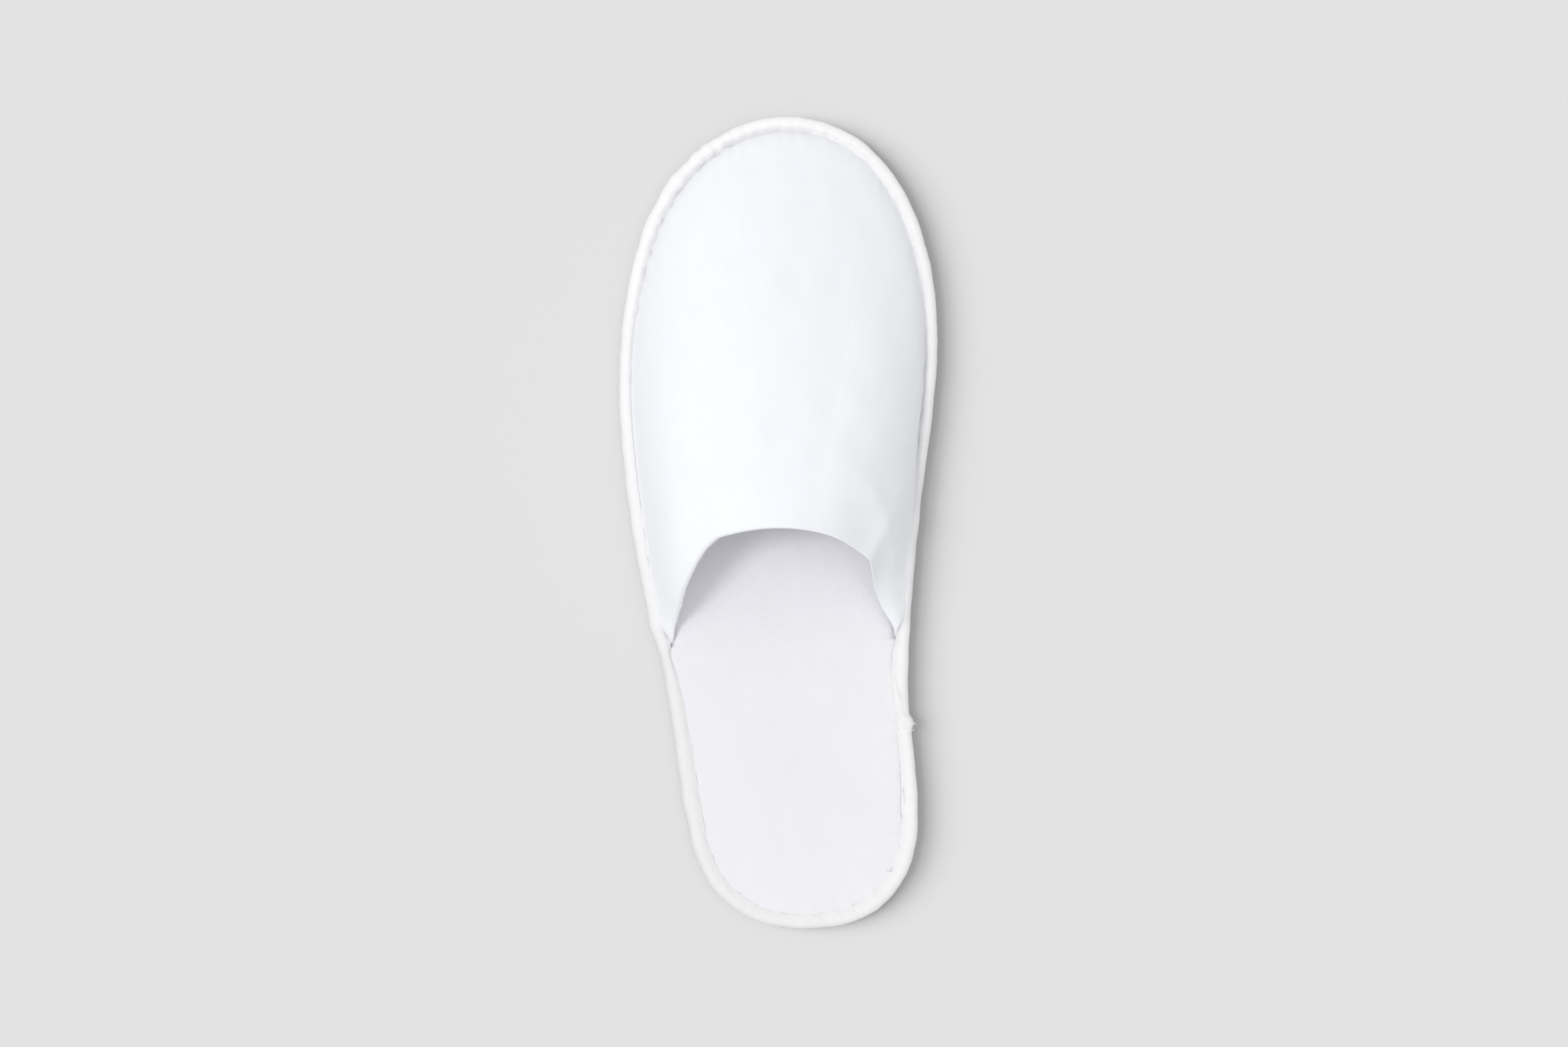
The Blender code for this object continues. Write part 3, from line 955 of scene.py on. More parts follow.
def wing_cap(first, size):
    """Faces that close a wing's end, between its outer points and the lining's points across from them."""
    outer = [first + i for i in range(UPPER_ROWS + 2)]
    inner = [first + size - 1 - i for i in range(UPPER_ROWS + 2)]
    faces = [(outer[i], outer[i + 1], inner[i + 1], inner[i]) for i in range(UPPER_ROWS + 1)]
    faces.append(tuple(first + UPPER_ROWS + 1 + i for i in range(HEM_STEPS + 1)))
    return faces


def make_upper(finish):
    """One piece of foam-backed cloth: flange, outer face, a turned hem round the throat, and lining."""
    outside, around, part, reach = upper_outside()
    normals = upward_normals(outside)
    wing = part_way(reach, 0, WING_THIN_RUN)
    hem = hem_radius(wing[:, 0])
    doubled = np.clip(HEM_EASE - (1 - part) * reach / HEM_DEPTH, 0, 1)
    thick = mix(WALL * mix(WING_WALL, 1, wing), 2 * hem[:, None], doubled)
    inside = outside - normals * thick[..., None]
    inside[..., 2] = np.maximum(inside[..., 2], SEAM_TOP - LINING_SINK + rise_of_spring(inside[..., 1]))
    seam = around[:, 0]
    flange = EDGE.inside(seam, np.maximum(station("width", seam) - UNDER_TAPE, FLANGE_LEAST))
    tucked = lifted(flange, SEAM_TOP - FLANGE_SINK)
    lower = tucked - np.array([0, 0, FLANGE_CLOTH])
    rolled = hem_rings(outside, normals, hem)
    grid = np.concatenate([tucked[:, None], outside, rolled, inside[:, ::-1], lower[:, None]], axis=1)
    count, size = grid.shape[:2]
    caps = [wing_cap(first, size) for first in (0, (count - 1) * size)]
    piece = make_piece("upper_cloth", grid, finish, across=True, flat=cut_places(outside), caps=caps)
    # Painted shade in the cloth's colour along its foot, where the groove beside the tape lies in shadow.
    join = FOOT_SHADE * station("groove", around) * bump_up(lengths_along(outside), FOOT_SHADE_RUN)
    shaded = np.zeros((count, size))
    shaded[:, 1 : UPPER_ROWS + 2] = join
    carry(piece, "wear_and_painted_shade", shaded)
    rim = grid[:, UPPER_ROWS + 1 + HEM_STEPS // 2]
    return piece, rim


# The tape's mesh: the length between its rows, closer on the stretches that need it, and its steps across.
EDGE_STEP = 0.00062
FINE_STEP = 0.00024
FINE_SPANS = ((0.204, 0.218), (0.3715, 0.3745), (0.415, 0.468))
STOP_STEP = 0.0001
FOLD_STEPS = 15
SHELF_STEPS = 8
EDGE_ANGLES = (30, 60, 90, 130)
SIDE_COLUMN = 12

# The tape's cloth, thinner at both cut edges, and its leg under the sole as insets and levels.
TAPE_CLOTH = 0.0007
LOWER_EDGE_SHARE = 0.45
EDGE_CLOTH = 0.00024
LOWER_LEG = ((0.0052, TAPE_FLOOR + TAPE_CLOTH), (0.0053, TAPE_FLOOR + 0.0003), (0.0048, TAPE_FLOOR))

# The lapped joint: where the upper layer of tape starts and how its cut end slants, as shares of the edge,
# the knot at its start, and the trough that a pulled strand leaves.
LAP_START = 0.6418
LAP_CUT = (0.6467, 0.6680)
LAP_CUT_INSETS = (0.0019, 0.0045)
LAP_RISE = 0.00060
LAP_EASE = 0.00045
KNOT_RISE = 0.00042
KNOT_WIDTH = 0.0011
KNOT_TWIST = 2600
STRAND_SPAN = (0.6535, 0.6670)
STRAND_TROUGH = 0.00055
STRAND_INSET = 0.0049
STRAND_WIDTH = 0.00045
LAP_JOINT = LAP_START * EDGE.length

# A needle hole on the tape's top, by its length round the edge: at the heel's medial side.
NEEDLE_HOLE = 0.3730
NEEDLE_HOLE_INSET = 0.0055
NEEDLE_HOLE_DEPTH = 0.00055
NEEDLE_HOLE_WIDTH = 0.00036
TOP_BAND = 0.0005

# Wrinkles fade down the side, wrinkles and lumps at the seam, and every move at the floor. The tape is a
# little darker towards the floor, and shade is painted into its colour beside the seam's groove.
WRINKLE_DEPTH = 0.004
SEAM_FADE = 0.0009
FLOOR_FADE = 0.0010
FLOOR_DARKENING = 0.12
FLOOR_DARKENING_HEIGHT = 0.0030
GROOVE_SHADE = 1.25
GROOVE_SHADE_RUN = 0.0023
GROOVE_SHADE_POWER = 0.7
GROOVE_SHADE_DEPTH = 0.003


def tape_stops():
    """Lengths round the edge for the tape's rows, close together where it changes fast."""
    fine = np.arange(0, EDGE.length, STOP_STEP)
    step = np.full_like(fine, EDGE_STEP)
    for start, stop in FINE_SPANS:
        step[(fine > start) & (fine < stop)] = FINE_STEP
    rows = np.concatenate([[0], np.cumsum(STOP_STEP / step)])
    count = int(rows[-1])
    ends = np.append(fine, EDGE.length)
    return np.interp(np.arange(count) / count * rows[-1], rows, ends)


def tape_outline(width, stand, move):
    """The tape's outer face, from under the sole round the side to the groove: its insets and levels."""
    middle = (TAPE_FLOOR + TAPE_TOP) / 2
    half = (TAPE_TOP - TAPE_FLOOR) / 2
    edge = np.maximum(width, FOLD_DEPTH + LEG_TURN) - LEG_TURN
    even = np.ones_like(width)
    insets = [inset * even for inset, _ in LOWER_LEG]
    levels = [level * even for _, level in LOWER_LEG]
    for step in range(FOLD_STEPS + 1):
        turn = math.pi * step / FOLD_STEPS
        out = math.sin(turn) ** (2 / FOLD_POWER)
        up = math.copysign(abs(math.cos(turn)) ** (2 / FOLD_POWER), -math.cos(turn))
        insets.append(FOLD_DEPTH - (FOLD_DEPTH + stand) * out)
        level = middle + half * up * even
        levels.append(level + tape_slope(insets[-1], edge, move) * (level > middle))
    for step in range(1, SHELF_STEPS + 1):
        insets.append(mix(FOLD_DEPTH, edge, step / SHELF_STEPS))
        levels.append(TAPE_TOP + tape_slope(insets[-1], edge, move))
    turned = TAPE_TOP + move - LEG_TURN
    for angle in map(math.radians, EDGE_ANGLES):
        insets.append(edge + LEG_TURN * math.sin(angle))
        levels.append(turned + LEG_TURN * math.cos(angle))
    insets.append(edge - 2 * LEG_TURN)
    levels.append(turned - 1.2 * LEG_TURN)
    return np.stack(insets, axis=1), np.stack(levels, axis=1)


def lap_rise(share, insets):
    """How far the tape's two lapped ends stand up at their joint."""
    share = share[:, None]
    start, stop = LAP_CUT_INSETS
    cut = mix(*LAP_CUT, part_way(insets, start, stop - start))
    lap = ramp(share - LAP_START, LAP_EASE) * ramp(cut - share, LAP_EASE)
    knot = bump_up((share - LAP_START) * EDGE.length, KNOT_WIDTH) * (1 + 0.5 * np.sin(insets * KNOT_TWIST))
    strand = ramp(share - STRAND_SPAN[0], LAP_EASE) * ramp(STRAND_SPAN[1] - share, LAP_EASE)
    trough = strand * bump_up(insets - STRAND_INSET, STRAND_WIDTH)
    return LAP_RISE * lap + KNOT_RISE * knot - STRAND_TROUGH * trough


def tape_moves(around, insets, levels):
    """How far the tape's outer face stands out from its even fold, or lies below it."""
    lumps = ripple(around, TAPE_LUMPS) + ripple(around, TAPE_PUCKERS)
    high = part_way(levels, TAPE_TOP - WRINKLE_DEPTH, WRINKLE_DEPTH)
    free = part_way(tape_width(around)[:, None] - insets, 0, SEAM_FADE)
    moved = (lumps[:, None] + ripple(around, TAPE_WRINKLES)[:, None] * high) * free
    moved += lap_rise(around / EDGE.length, insets)
    hole = np.hypot(around[:, None] - NEEDLE_HOLE, insets - NEEDLE_HOLE_INSET)
    moved -= NEEDLE_HOLE_DEPTH * bump_up(hole, NEEDLE_HOLE_WIDTH) * (levels > TAPE_TOP - TOP_BAND)
    return moved * part_way(levels, TAPE_FLOOR, FLOOR_FADE)


def tape_darkening_and_painted_shade(around, insets, levels):
    """How darkened the tape's colour is: a little towards the floor, and painted shade by the seam's groove.
    """
    low = FLOOR_DARKENING * (1 - part_way(levels, 0, FLOOR_DARKENING_HEIGHT))
    from_edge = part_way(tape_width(around)[:, None] - insets, 0, GROOVE_SHADE_RUN)
    shade = GROOVE_SHADE * station("groove", around)[:, None] * (1 - from_edge) ** GROOVE_SHADE_POWER
    return low + shade * (levels > TAPE_TOP - GROOVE_SHADE_DEPTH)


def make_binding(finish):
    """The tape folded round the whole edge, gathered at the curves and lapped on the medial side."""
    around = tape_stops()
    insets, levels = tape_outline(tape_width(around), station("stand", around), edge_move(around))
    outer = np.concatenate([EDGE.inside(around[:, None], insets), levels[..., None]], axis=2)
    outer[..., 2] += rise_of_spring(outer[..., 1])
    normals = sheet_normals(outer, closed=True)
    normals *= np.sign((normals[:, SIDE_COLUMN, :2] * -EDGE.read(around, EDGE.inward)).sum())
    outer += normals * tape_moves(around, insets, levels)[..., None]
    thick = np.full(outer.shape[:2], TAPE_CLOTH)
    thick[:, :2] *= LOWER_EDGE_SHARE
    thick[:, -len(EDGE_ANGLES) - 1 :] = EDGE_CLOTH
    inner = outer - normals * thick[..., None]
    grid = np.concatenate([outer, inner[:, ::-1]], axis=1)
    across = lengths_along(outer[:1])[0]
    across = np.concatenate([across, across[::-1]])
    flat = np.stack(np.broadcast_arrays(around[:, None], across[None, :]), axis=-1)
    trip = EDGE.length
    piece = make_piece("binding_tape", grid, finish, along=True, across=True, flat=flat, round_trip=trip)
    # Painted shade beside the seam's groove, and a little darkening towards the floor.
    wear_and_painted_shade = tape_darkening_and_painted_shade(around, insets, levels)
    carry(piece, "wear_and_painted_shade", np.concatenate([wear_and_painted_shade, wear_and_painted_shade[:, ::-1]], axis=1))
    # Painted shade where the upper's flanks lie over the tape, and a darker tone round the heel, from the
    # stations.
    carry(piece, "dull", np.broadcast_to(station("dull", around)[:, None], grid.shape[:2]))
    return piece


# The sole layers' middle: rings from well inside the edge in to a line along the sole, leaning medially.
SPINE_INSET = 0.016
SPINE_SHARE = 0.93
SPINE_ENDS = (-0.088, 0.083)
SPINE_LEAN = 0.0016
BASE_RINGS = 5


def spine(around, steps):
    """Rings from well inside the edge in to the line along the middle of the sole."""
    ring = EDGE.inside(around, SPINE_INSET)
    y = np.clip(ring[:, 1] * SPINE_SHARE, *SPINE_ENDS)
    line = np.stack([SPINE_LEAN * y / (0.5 * LENGTH), y], axis=1)
    return [mix(ring, line, share) for share in np.linspace(0, 1, steps + 2)[1:-1]]


def even_stops(count):
    """Lengths round the edge that face each other in pairs across the sole."""
    half = np.arange(count // 2) / (count // 2)
    return np.concatenate([half * EDGE.heel, mix(EDGE.heel, EDGE.length, half)])


# The pad's rings on top, as insets in millimetres from the tape's sewn edge, and further in from an even
# width, and the insets of the rings at its base.
PAD_STOPS = 720
PAD_OFFSETS = (-1.6, -1.0, -0.5, -0.28, -0.12, 0.15, 0.3, 0.5, 0.8, 1.2, 1.7, 2.4, 3.2, 4.2, 5.4, 6.8, 8.4)
PAD_EVEN_WIDTH = 0.0050
PAD_RINGS = 26
PAD_RING_STEP = 0.0015
PAD_BASE = (0.0010, 0.0030, 0.0080)

# The pad's rim under the tape: insets, and how far each lies below the pad's edge.
PAD_RIM = ((0.0010, 0.0024), (0.0012, 0.0014), (0.0016, 0.0008))

# How the pad rises from its sewn edge to its crown, cracks beside a deep groove, and slips under the tape.
PAD_CROWN = 0.00082
PAD_EASE = 0.0022
PAD_DROP = 0.00003
PAD_CRACK = 0.00034
PAD_CRACK_EASE = 0.00060
PAD_CRACK_GROOVES = (0.3, 0.2)
PAD_PUCKER_REACH = 0.002
PAD_CALM_RUN = 0.006
PAD_LAPS = ((0.0002, 0.00012), (0.0004, 0.00013))

# Under the upper the pad is pressed down.
PAD_PRESS = 0.0015
PAD_PRESS_RUN = 0.0016

# A faint darker patch of the pad below the heel: its middle and its spread, across and along the shoe.
HEEL_PATCH = ((0.003, 0.030), (-0.095, 0.040))
HEEL_PATCH_DARKENING = 0.25


def pad_level(around, plan, inset):
    """The height of the pad's top along one ring."""
    width = tape_width(around)
    away = np.clip(inset - width, 0, None)
    meet = foot_level(around) - PAD_DROP - SEAM_TOP - PAD_CROWN
    crack = PAD_CRACK * part_way(station("groove", around), *PAD_CRACK_GROOVES)
    edge = meet * np.exp(-away / PAD_EASE) - crack * np.exp(-away / PAD_CRACK_EASE)
    pucker = ripple(around, PAD_GATHER) * swelling(away, PAD_PUCKER_REACH)
    uneven = swell(plan[:, 0], plan[:, 1], PAD_SWELLS) * part_way(away, 0, PAD_CALM_RUN)
    level = SEAM_TOP + PAD_CROWN + edge + pucker + uneven
    rear = (around > LATERAL_WING) & (around < MEDIAL_WING)
    press = PAD_PRESS * np.exp(-np.clip(inset - SEAM_INSET, 0, None) / PAD_PRESS_RUN)
    level -= np.where(rear, 0.0, press)
    for lap, drop in PAD_LAPS:
        level -= drop * (inset < width - lap)
    return level


def make_insole(finish):
    """The padded footbed: flat below, softly uneven on top and drawn down where it is sewn at its edge."""
    around = even_stops(PAD_STOPS)
    width = tape_width(around)
    offsets = np.array(PAD_OFFSETS) / 1000
    insets = [inset for inset, _ in PAD_RIM]
    for offset, share in zip(offsets, part_way(offsets, 0, offsets[-1])):
        insets.append(mix(width, PAD_EVEN_WIDTH, share) + offset)
    plans = [EDGE.inside(around, inset) for inset in insets] + spine(around, PAD_RINGS)
    insets += [SPINE_INSET + PAD_RING_STEP * i for i in range(PAD_RINGS)]
    drops = [drop for _, drop in PAD_RIM] + [0.0] * (len(plans) - len(PAD_RIM))
    base = [EDGE.inside(around, inset) for inset in PAD_BASE] + spine(around, BASE_RINGS)
    rings = [lifted(plan, INSOLE_BASE) for plan in base[::-1]]
    for plan, inset, drop in zip(plans, insets, drops):
        rings.append(lifted(plan, pad_level(around, plan, inset) - drop))
    piece, grid = layer_piece("insole_pad", rings, finish, cut=True)
    across, along = HEEL_PATCH
    patch = bump_up(grid[..., 0] - across[0], across[1]) * bump_up(grid[..., 1] - along[0], along[1])
    carry(piece, "wear_and_painted_shade", HEEL_PATCH_DARKENING * patch)
    return piece


# The foam's side from the tread round its thinned rim to its top, as insets and levels.
OUTSOLE_STOPS = 480
OUTSOLE_TOP = OUTSOLE - 0.0001
OUTSOLE_SIDE = (
    (0.0120, 0.0),
    (0.0072, 0.0),
    (0.0064, 0.00012),
    (0.0058, 0.00050),
    (0.0054, 0.00105),
    (0.0046, 0.00150),
    (0.0022, 0.00160),
    (0.0014, 0.00220),
    (0.0011, 0.00330),
    (0.0012, OUTSOLE_TOP),
    (0.0080, OUTSOLE_TOP),
)
OUTSOLE_CREASE = math.radians(50)

# Where along the shoe the tread is a little scuffed, how far each place spreads, and how high it reaches.
TREAD_WEAR = (-0.10, 0.055)
TREAD_WEAR_SPREAD = 0.045
TREAD_WEAR_HEIGHT = 0.004


def make_outsole(finish):
    """The foam sole: a flat tread whose rim is thinned and rounded where the tape is folded under it."""
    around = even_stops(OUTSOLE_STOPS)
    middle = spine(around, BASE_RINGS)
    rings = [lifted(plan, 0.0) for plan in middle[::-1]]
    rings += [lifted(EDGE.inside(around, inset), level) for inset, level in OUTSOLE_SIDE]
    rings += [lifted(plan, OUTSOLE_TOP) for plan in middle]
    piece, grid = layer_piece("outsole_foam", rings, finish)
    piece.data.set_sharp_from_angle(angle=OUTSOLE_CREASE)
    wear_and_painted_shade = sum(bump_up(grid[..., 1] - place, TREAD_WEAR_SPREAD) for place in TREAD_WEAR)
    carry(piece, "wear_and_painted_shade", np.clip(wear_and_painted_shade, 0, 1) * (grid[..., 2] < TREAD_WEAR_HEIGHT))
    return piece


# What follows a path: sewing thread.

THREAD_SIDES = 7
STITCH_STEPS = 7
LOOSE_SWING = 2.4 * math.pi


class Tree(Net):
    """A Geometry Nodes tree with named inputs for its sizes."""

    def __init__(self, name):
        super().__init__(bpy.data.node_groups.new(name, "GeometryNodeTree"))
        self.sizes = {}
        self.tree.interface.new_socket("Geometry", in_out="INPUT", socket_type="NodeSocketGeometry")
        self.tree.interface.new_socket("Geometry", in_out="OUTPUT", socket_type="NodeSocketGeometry")
        self.start = self.tree.nodes.new("NodeGroupInput")
        self.end = self.tree.nodes.new("NodeGroupOutput")

    def size(self, name, value, kind="NodeSocketFloat"):
        """A named input, as a wire."""
        socket = self.tree.interface.new_socket(name, in_out="INPUT", socket_type=kind)
        socket.default_value = value
        self.sizes[name] = socket.identifier
        return Wire(self, self.start.outputs[name])

    def stops(self, spacing):
        """The given path as a curve whose points lie this far apart."""
        path = Wire(self, self.start.outputs["Geometry"])
        curve = self.node("GeometryNodeMeshToCurve", None, {"Mesh": path})
        inputs = {"Curve": curve, "Length": spacing}
        return self.node("GeometryNodeResampleCurve", {"mode": "LENGTH"}, inputs)

    def vector(self, **parts):
        """A vector from its X, Y or Z."""
        return self.node("ShaderNodeCombineXYZ", None, parts)

    def thread(self, curve, radius):
        """A round thread along a curve, closed at both ends."""
        sizes = {"Resolution": THREAD_SIDES, "Radius": radius}
        ring = self.node("GeometryNodeCurvePrimitiveCircle", {"mode": "RADIUS"}, sizes)
        inputs = {"Curve": curve, "Profile Curve": ring, "Fill Caps": True}
        return self.node("GeometryNodeCurveToMesh", None, inputs)

    def close(self, geometry, finish):
        """Ends the tree: instances made real, shaded smooth, and given their material."""
        real = self.node("GeometryNodeRealizeInstances", None, {"Geometry": geometry})
        smooth = self.node("GeometryNodeSetShadeSmooth", None, {"Geometry": real})
        done = self.node("GeometryNodeSetMaterial", None, {"Geometry": smooth, "Material": finish})
        self.tree.links.new(done.socket, self.end.inputs[0])


def stitch_tree(finish):
    """Stitches laid end to end along a path, each a short bowed length of thread that dips at both ends."""
    tree = Tree("stitches_on_path")
    pitch = tree.size("Pitch", 0.003)
    length = tree.size("Stitch Length", 0.0024)
    radius = tree.size("Thread Radius", 0.00018)
    bow = tree.size("Bow", 0.0003)
    waver = tree.size("Waver", 0.06)
    seed = tree.size("Seed", 1, "NodeSocketInt")
    tangent = tree.node("GeometryNodeInputTangent")
    axes = {"axis": "X", "pivot_axis": "Z"}
    aligned = tree.node("FunctionNodeAlignRotationToVector", axes, {"Vector": tangent})
    spread = {2: -1.0 * waver, 3: waver, "Seed": seed}
    turned = tree.node("FunctionNodeRandomValue", {"data_type": "FLOAT"}, spread, output=1)
    turns = {"Rotation": aligned, "Rotate By": tree.vector(Z=turned)}
    rotation = tree.node("FunctionNodeRotateRotation", {"rotation_space": "LOCAL"}, turns)
    half = length * 0.5
    bend = {"Start": tree.vector(X=-1.0 * half), "Middle": tree.vector(Z=bow * 2.0)}
    bend.update({"End": tree.vector(X=half), "Resolution": STITCH_STEPS})
    arc = tree.node("GeometryNodeCurveQuadraticBezier", None, bend)
    inputs = {"Points": tree.stops(pitch), "Instance": tree.thread(arc, radius), "Rotation": rotation}
    tree.close(tree.node("GeometryNodeInstanceOnPoints", None, inputs), finish)
    return tree


def thread_tree(finish):
    """A loose length of thread along each line of a path."""
    tree = Tree("thread_on_path")
    radius = tree.size("Thread Radius", 0.00015)
    spacing = tree.size("Spacing", 0.0002)
    tree.close(tree.thread(tree.stops(spacing), radius), finish)
    return tree


def grow(name, lines, tree, **sizes):
    """A plain mesh that a tree makes along lines of points; sizes are the tree's inputs, by name."""
    points, edges = [], []
    for line, closed in lines:
        first = len(points)
        points.extend(map(tuple, line))
        edges.extend((first + i, first + i + 1) for i in range(len(line) - 1))
        if closed:
            edges.append((len(points) - 1, first))
    path = bpy.data.meshes.new(name + "_path")
    path.from_pydata(points, edges, [])
    guide = add_object(name + "_path", path)
    modifier = guide.modifiers.new("grow", "NODES")
    modifier.node_group = tree.tree
    for size, value in sizes.items():
        modifier[tree.sizes[size.replace("_", " ").title()]] = value
    graph = bpy.context.evaluated_depsgraph_get()
    grown = guide.evaluated_get(graph)
    mesh = bpy.data.meshes.new_from_object(grown, preserve_all_data_layers=True, depsgraph=graph)
    mesh.name = name
    bpy.data.objects.remove(guide)
    return add_object(name, mesh)


# The seam's thread: its stitches' pitch, the step of its path, where its ends stop, and its place beside and
# under the tape.
SEAM_PITCH = 0.0031
PATH_STEP = 0.0008
SEAM_ENDS = (0.004, 0.006)
GROOVE_INSET = 0.00035
THREAD_DEPTH = 0.00040
UNDER_GAP = 0.0004
UNDER_INSET = 0.0040
UNDER_LEVEL = 0.00030


def make_seam_stitches(tree):
    """The seam's stitches, lying in the groove beside the tape."""
    around = np.arange(LATERAL_WING + SEAM_ENDS[0], MEDIAL_WING - SEAM_ENDS[1], PATH_STEP)
    place = EDGE.inside(around, tape_width(around) + GROOVE_INSET)
    line = lifted(place, foot_level(around) - THREAD_DEPTH)
    sizes = {"stitch_length": 0.0023, "thread_radius": 0.00017, "bow": 0.00022}
    return grow("seam_stitches", [(line, False)], tree, pitch=SEAM_PITCH, **sizes)


def make_under_stitches(tree):
    """The same seam where it comes through the tape under the sole."""
    around = np.arange(0.0, EDGE.length - UNDER_GAP, PATH_STEP)
    line = lifted(EDGE.inside(around, UNDER_INSET), UNDER_LEVEL)
    sizes = {"stitch_length": 0.0025, "thread_radius": 0.00014, "bow": -0.00008, "seed": 5}
    return grow("under_stitches", [(line, True)], tree, pitch=SEAM_PITCH, **sizes)


def strand(place, heading, reach, sag, wave, steps=8):
    """Points along one loose length of thread or fibre."""
    heading = Vector(heading).normalized()
    side = heading.cross(Vector((0, 0, 1)))
    if side.length < 0.01:
        side = Vector((1, 0, 0))
    line = []
    for step in range(steps + 1):
        t = step / steps
        point = Vector(place) + heading * reach * t + side.normalized() * wave * math.sin(LOOSE_SWING * t)
        point.z -= sag * t * t
        line.append(point)
    return line, False


def on_tape(around, inset, above=0.0):
    """A place on the tape, at a length round the edge and an inset from its outer face."""
    x, y = EDGE.inside(around, inset)
    return float(x), float(y), float(tape_level(inset) + rise_of_spring(y)) + above


# Loose ends of thread: each starts at a length round the edge, an inset and a height over the tape, and has
# the way it points, its reach, its sag and its wave.
LooseEnd = namedtuple("LooseEnd", "around inset above heading reach sag wave")
LOOSE_ENDS = (
    LooseEnd(LAP_JOINT, 0.0006, -0.0008, (1.0, 0.25, 0.10), 0.0026, 0.0009, 0.00045),
    LooseEnd(LAP_JOINT - 0.0011, 0.0008, -0.0003, (1.0, -0.45, 0.05), 0.0019, 0.0007, -0.00040),
    LooseEnd(LAP_JOINT + 0.0010, 0.0007, -0.0016, (0.9, 0.7, -0.15), 0.0022, 0.0008, 0.00040),
    LooseEnd(LAP_JOINT, 0.0056, 0.0001, (-0.9, -0.5, 0.05), 0.0016, 0.0003, 0.00035),
    LooseEnd(LAP_JOINT - 0.0012, 0.0054, 0.0001, (-0.7, 0.6, 0.05), 0.0014, 0.0003, -0.00030),
    LooseEnd(LAP_JOINT - 0.0210, 0.0052, 0.0001, (0.05, -1.0, 0.03), 0.0055, 0.0003, 0.00015),
    LooseEnd(NEEDLE_HOLE, 0.0052, 0.0001, (-0.3, 1.0, 0.25), 0.0014, 0.0003, 0.00030),
    LooseEnd(NEEDLE_HOLE, 0.0056, 0.0001, (0.8, 0.7, 0.20), 0.0012, 0.0003, -0.00025),
    LooseEnd(NEEDLE_HOLE - 0.0006, 0.0060, 0.0, (-0.9, 0.3, 0.15), 0.0011, 0.0002, 0.00025),
)


def make_loose_ends(tree):
    """Cut thread ends and a frayed yarn or two at the tape's lapped joint and where the sewing ends."""
    lines = []
    for end in LOOSE_ENDS:
        place = on_tape(end.around, end.inset, end.above)
        lines.append(strand(place, end.heading, end.reach, end.sag, end.wave))
    return grow("loose_thread_ends", lines, tree, thread_radius=0.00015, spacing=0.00018)


# Short fibres: their number, span, scatter and reach on the throat's rim, and on the tape their spans with
# their numbers, their insets and their reach. The spans are shares of the rim and of the tape.
FIBRE_SEED = 61
FIBRE_SAG = 0.0001
RIM_FIBRES = 110
RIM_FIBRE_SPAN = (0.07, 0.36)
RIM_FIBRE_SCATTER = (-0.00035, 0.00025)
RIM_FIBRE_REACH = (0.0002, 0.0006)
TAPE_FIBRE_SPANS = ((0.52, 0.58, 12), (0.94, 0.985, 10), (0.04, 0.12, 10), (0.636, 0.648, 14))
TAPE_FIBRE_INSETS = (0.0016, 0.0026, 0.0038)
TAPE_FIBRE_REACH = (0.0003, 0.0008)


def make_fibres(rim, tree):
    """Short fibres along the throat's lateral edge, and lint on the tape's bends."""
    chance = np.random.default_rng(FIBRE_SEED)
    edge = Track(rim)
    lines = []
    for share in np.sort(chance.uniform(*RIM_FIBRE_SPAN, RIM_FIBRES)):
        place = edge.at(share * edge.length)
        place = place + chance.uniform(*RIM_FIBRE_SCATTER, 3)
        heading = (chance.normal(0.3, 0.8), chance.normal(0.1, 0.9), chance.uniform(0.2, 1.0))
        lines.append(strand(place, heading, chance.uniform(*RIM_FIBRE_REACH), FIBRE_SAG, 0.00005, steps=3))
    for start, stop, count in TAPE_FIBRE_SPANS:
        for _ in range(count):
            inset = chance.choice(TAPE_FIBRE_INSETS)
            around = chance.uniform(start, stop) * EDGE.length
            place = on_tape(around, inset * chance.uniform(0.7, 1.2), 0.00005)
            heading = (chance.normal(), chance.normal(), chance.uniform(0.0, 0.5))
            reach = chance.uniform(*TAPE_FIBRE_REACH)
            lines.append(strand(place, heading, reach, FIBRE_SAG, 0.00006, steps=3))
    return grow("edge_fibres", lines, tree, thread_radius=0.00007, spacing=0.00030)


# The studio.


FLOOR_HALF = 3.0
FLOOR_LEVEL = -0.0001


def add_floor():
    """A wide plain floor, just below the tread."""
    mesh = bpy.data.meshes.new("studio_floor")
    signs = ((-1, -1), (1, -1), (1, 1), (-1, 1))
    mesh.from_pydata([(x * FLOOR_HALF, y * FLOOR_HALF, FLOOR_LEVEL) for x, y in signs], [], [(0, 1, 2, 3)])
    floor = add_object("studio_floor", mesh)
    mesh.materials.append(floor_finish())
    return floor


CAMERA_LEAN = math.radians(6.0)
CAMERA_ROLL = math.radians(2.0)
CAMERA_AWAY = 1.10
LENS = 73.3
AIM = Vector((0.0, 0.0, 0.005))


def add_camera():
    """Looks down from a little to the lateral side, with the toe up the picture."""
    data = bpy.data.cameras.new("camera")
    data.sensor_width = 36.0
    data.lens = LENS
    data.clip_start = 0.05
    data.clip_end = 20.0
    camera = add_object("camera", data)
    view = Vector((math.sin(CAMERA_LEAN), 0, -math.cos(CAMERA_LEAN)))
    right = Vector((math.cos(CAMERA_LEAN), 0, math.sin(CAMERA_LEAN)))
    up = Vector((0, 1, 0))
    turned_right = right * math.cos(CAMERA_ROLL) - up * math.sin(CAMERA_ROLL)
    turned_up = right * math.sin(CAMERA_ROLL) + up * math.cos(CAMERA_ROLL)
    turn = Matrix((turned_right, turned_up, -view)).transposed().to_4x4()
    camera.matrix_world = Matrix.Translation(AIM - view * CAMERA_AWAY) @ turn
    bpy.context.scene.camera = camera


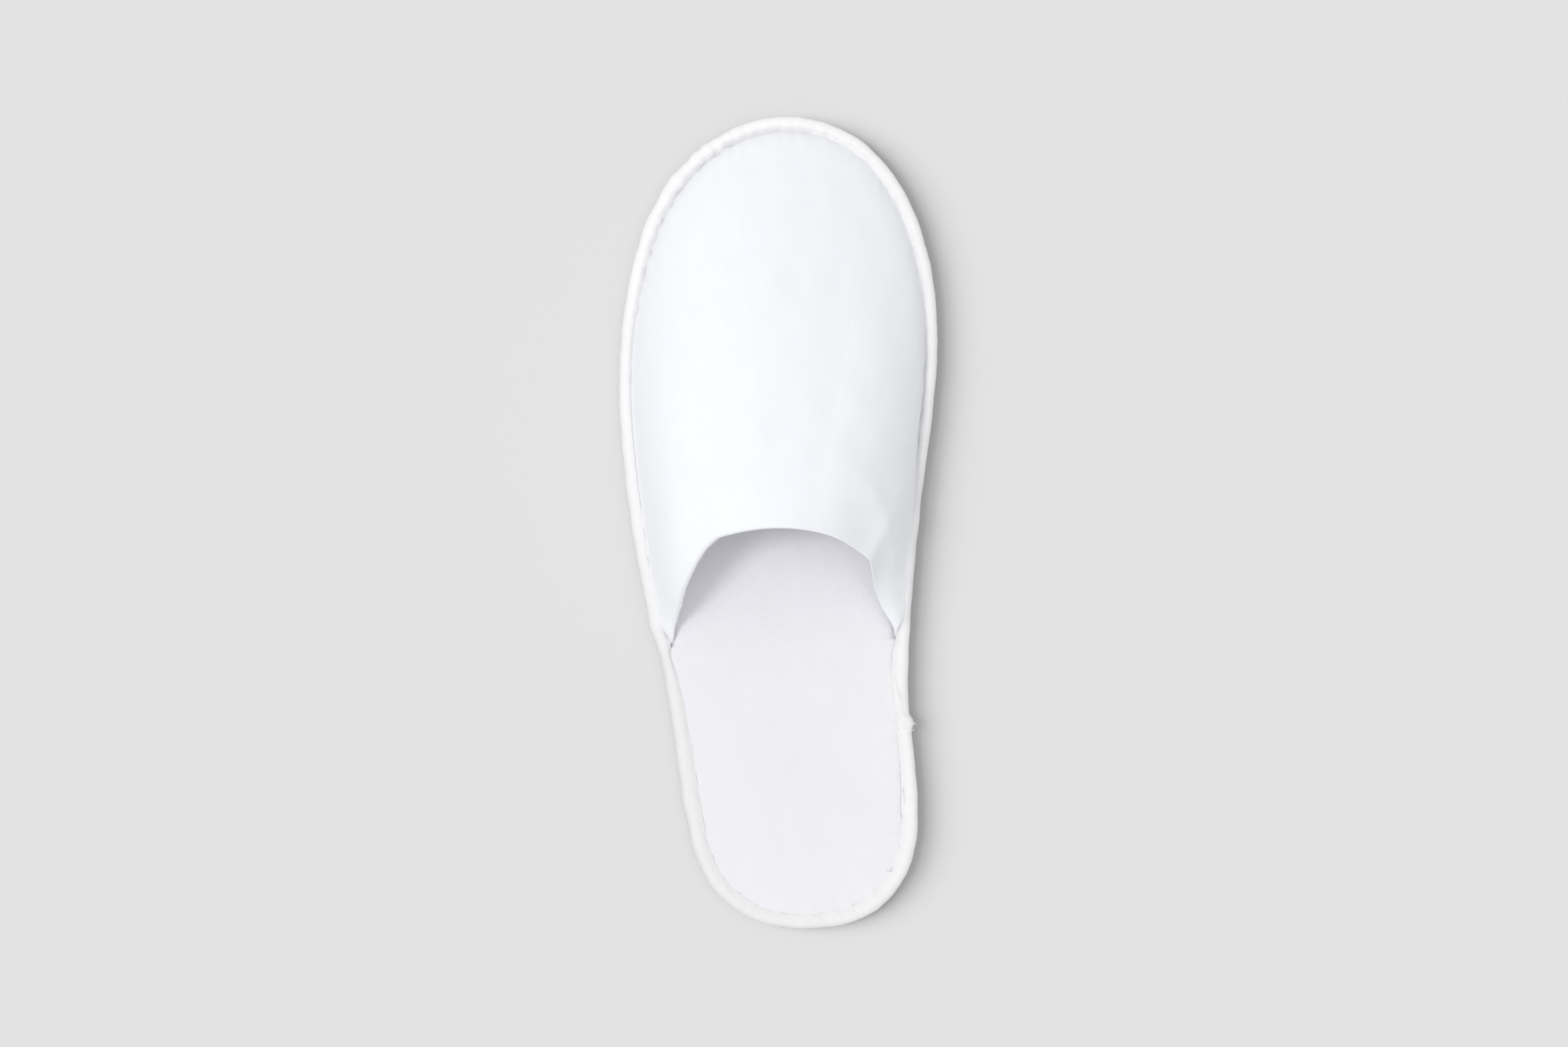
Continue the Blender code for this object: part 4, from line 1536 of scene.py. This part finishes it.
def add_lamp(name, azimuth, elevation, spread, strength, lit=None, shaded_by=()):
    """A broad far-off lamp. Its azimuth from +X towards +Y, its elevation and its spread are in degrees.

    lit is the one object that it lights, if it doesn't light them all, and shaded_by are then the only ones
    that cast its shadow.
    """
    data = bpy.data.lights.new(name, "SUN")
    data.angle = math.radians(spread)
    data.energy = strength
    lamp = add_object(name, data)
    a, e = math.radians(azimuth), math.radians(elevation)
    back = Vector((math.cos(a) * math.cos(e), math.sin(a) * math.cos(e), math.sin(e)))
    lamp.matrix_world = Matrix.Translation(back) @ back.to_track_quat("Z", "Y").to_matrix().to_4x4()
    if lit is not None:
        flagged = bpy.data.collections.new(name + "_lights")
        flagged.objects.link(lit)
        lamp.light_linking.receiver_collection = flagged
    if shaded_by:
        casting = bpy.data.collections.new(name + "_shadows")
        for piece in shaded_by:
            casting.objects.link(piece)
        lamp.light_linking.blocker_collection = casting


def add_studio(low_pieces):
    """The floor, the camera, soft lamps from the lateral side, and a pale surrounding."""
    floor = add_floor()
    add_camera()
    add_lamp("key_lamp", azimuth=175, elevation=61, spread=14, strength=0.840)
    add_lamp("side_lamp", azimuth=174, elevation=60, spread=40, strength=0.24)
    add_lamp("top_lamp", azimuth=0, elevation=80, spread=45, strength=0.31)
    for name, elevation, strength in (("low_floor_lamp", 38, 2.80), ("floor_lamp", 50, 0.50)):
        add_lamp(name, 172, elevation, spread=34, strength=strength, lit=floor, shaded_by=low_pieces)
    add_lamp("overhead_floor_lamp", azimuth=180, elevation=86, spread=30, strength=0.52, lit=floor)
    world = bpy.data.worlds.new("studio")
    bpy.context.scene.world = world
    world.use_nodes = True
    background = world.node_tree.nodes["Background"]
    background.inputs["Color"].default_value = (0.985, 0.99, 1.0, 1)
    background.inputs["Strength"].default_value = 0.67
    bpy.context.scene.view_settings.view_transform = "Standard"


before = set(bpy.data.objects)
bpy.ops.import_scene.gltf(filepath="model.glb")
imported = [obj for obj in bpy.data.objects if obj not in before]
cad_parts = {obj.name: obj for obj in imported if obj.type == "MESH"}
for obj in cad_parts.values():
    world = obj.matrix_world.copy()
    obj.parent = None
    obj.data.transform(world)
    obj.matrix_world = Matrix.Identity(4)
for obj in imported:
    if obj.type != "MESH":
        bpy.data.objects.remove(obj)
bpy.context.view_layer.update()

light, dark = (0.914, 0.923, 0.953), (0.876, 0.886, 0.923)
upper_finish = cloth_finish("upper_cloth", light, dark, pitch=0.00062, nap=0.55, sheen=0.22)
light, dark = (0.858, 0.854, 0.889), (0.824, 0.820, 0.857)
footbed_finish = cloth_finish("footbed_cloth", light, dark, pitch=0.00070, nap=0.6, sheen=0.15)
tape = tape_finish()
thread = thread_finish()

upper, rim = make_upper(upper_finish)
insole = make_insole(footbed_finish)
binding = make_binding(tape)
outsole = make_outsole(foam_finish())
stitches = stitch_tree(thread)
seam_stitches = make_seam_stitches(stitches)
under_stitches = make_under_stitches(stitches)
threads = thread_tree(thread)
loose_ends = make_loose_ends(threads)
fibres = make_fibres(rim, threads)

for piece, node, slot in (
    (upper, "upper", "upper_cloth"),
    (insole, "insole", "footbed_cloth"),
    (binding, "binding", "binding_tape"),
    (outsole, "outsole", "sole_foam"),
):
    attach(piece, "root")
    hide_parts(node)
for piece in (seam_stitches, under_stitches, loose_ends, fibres):
    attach(piece, "root")

add_studio((binding, insole, outsole))
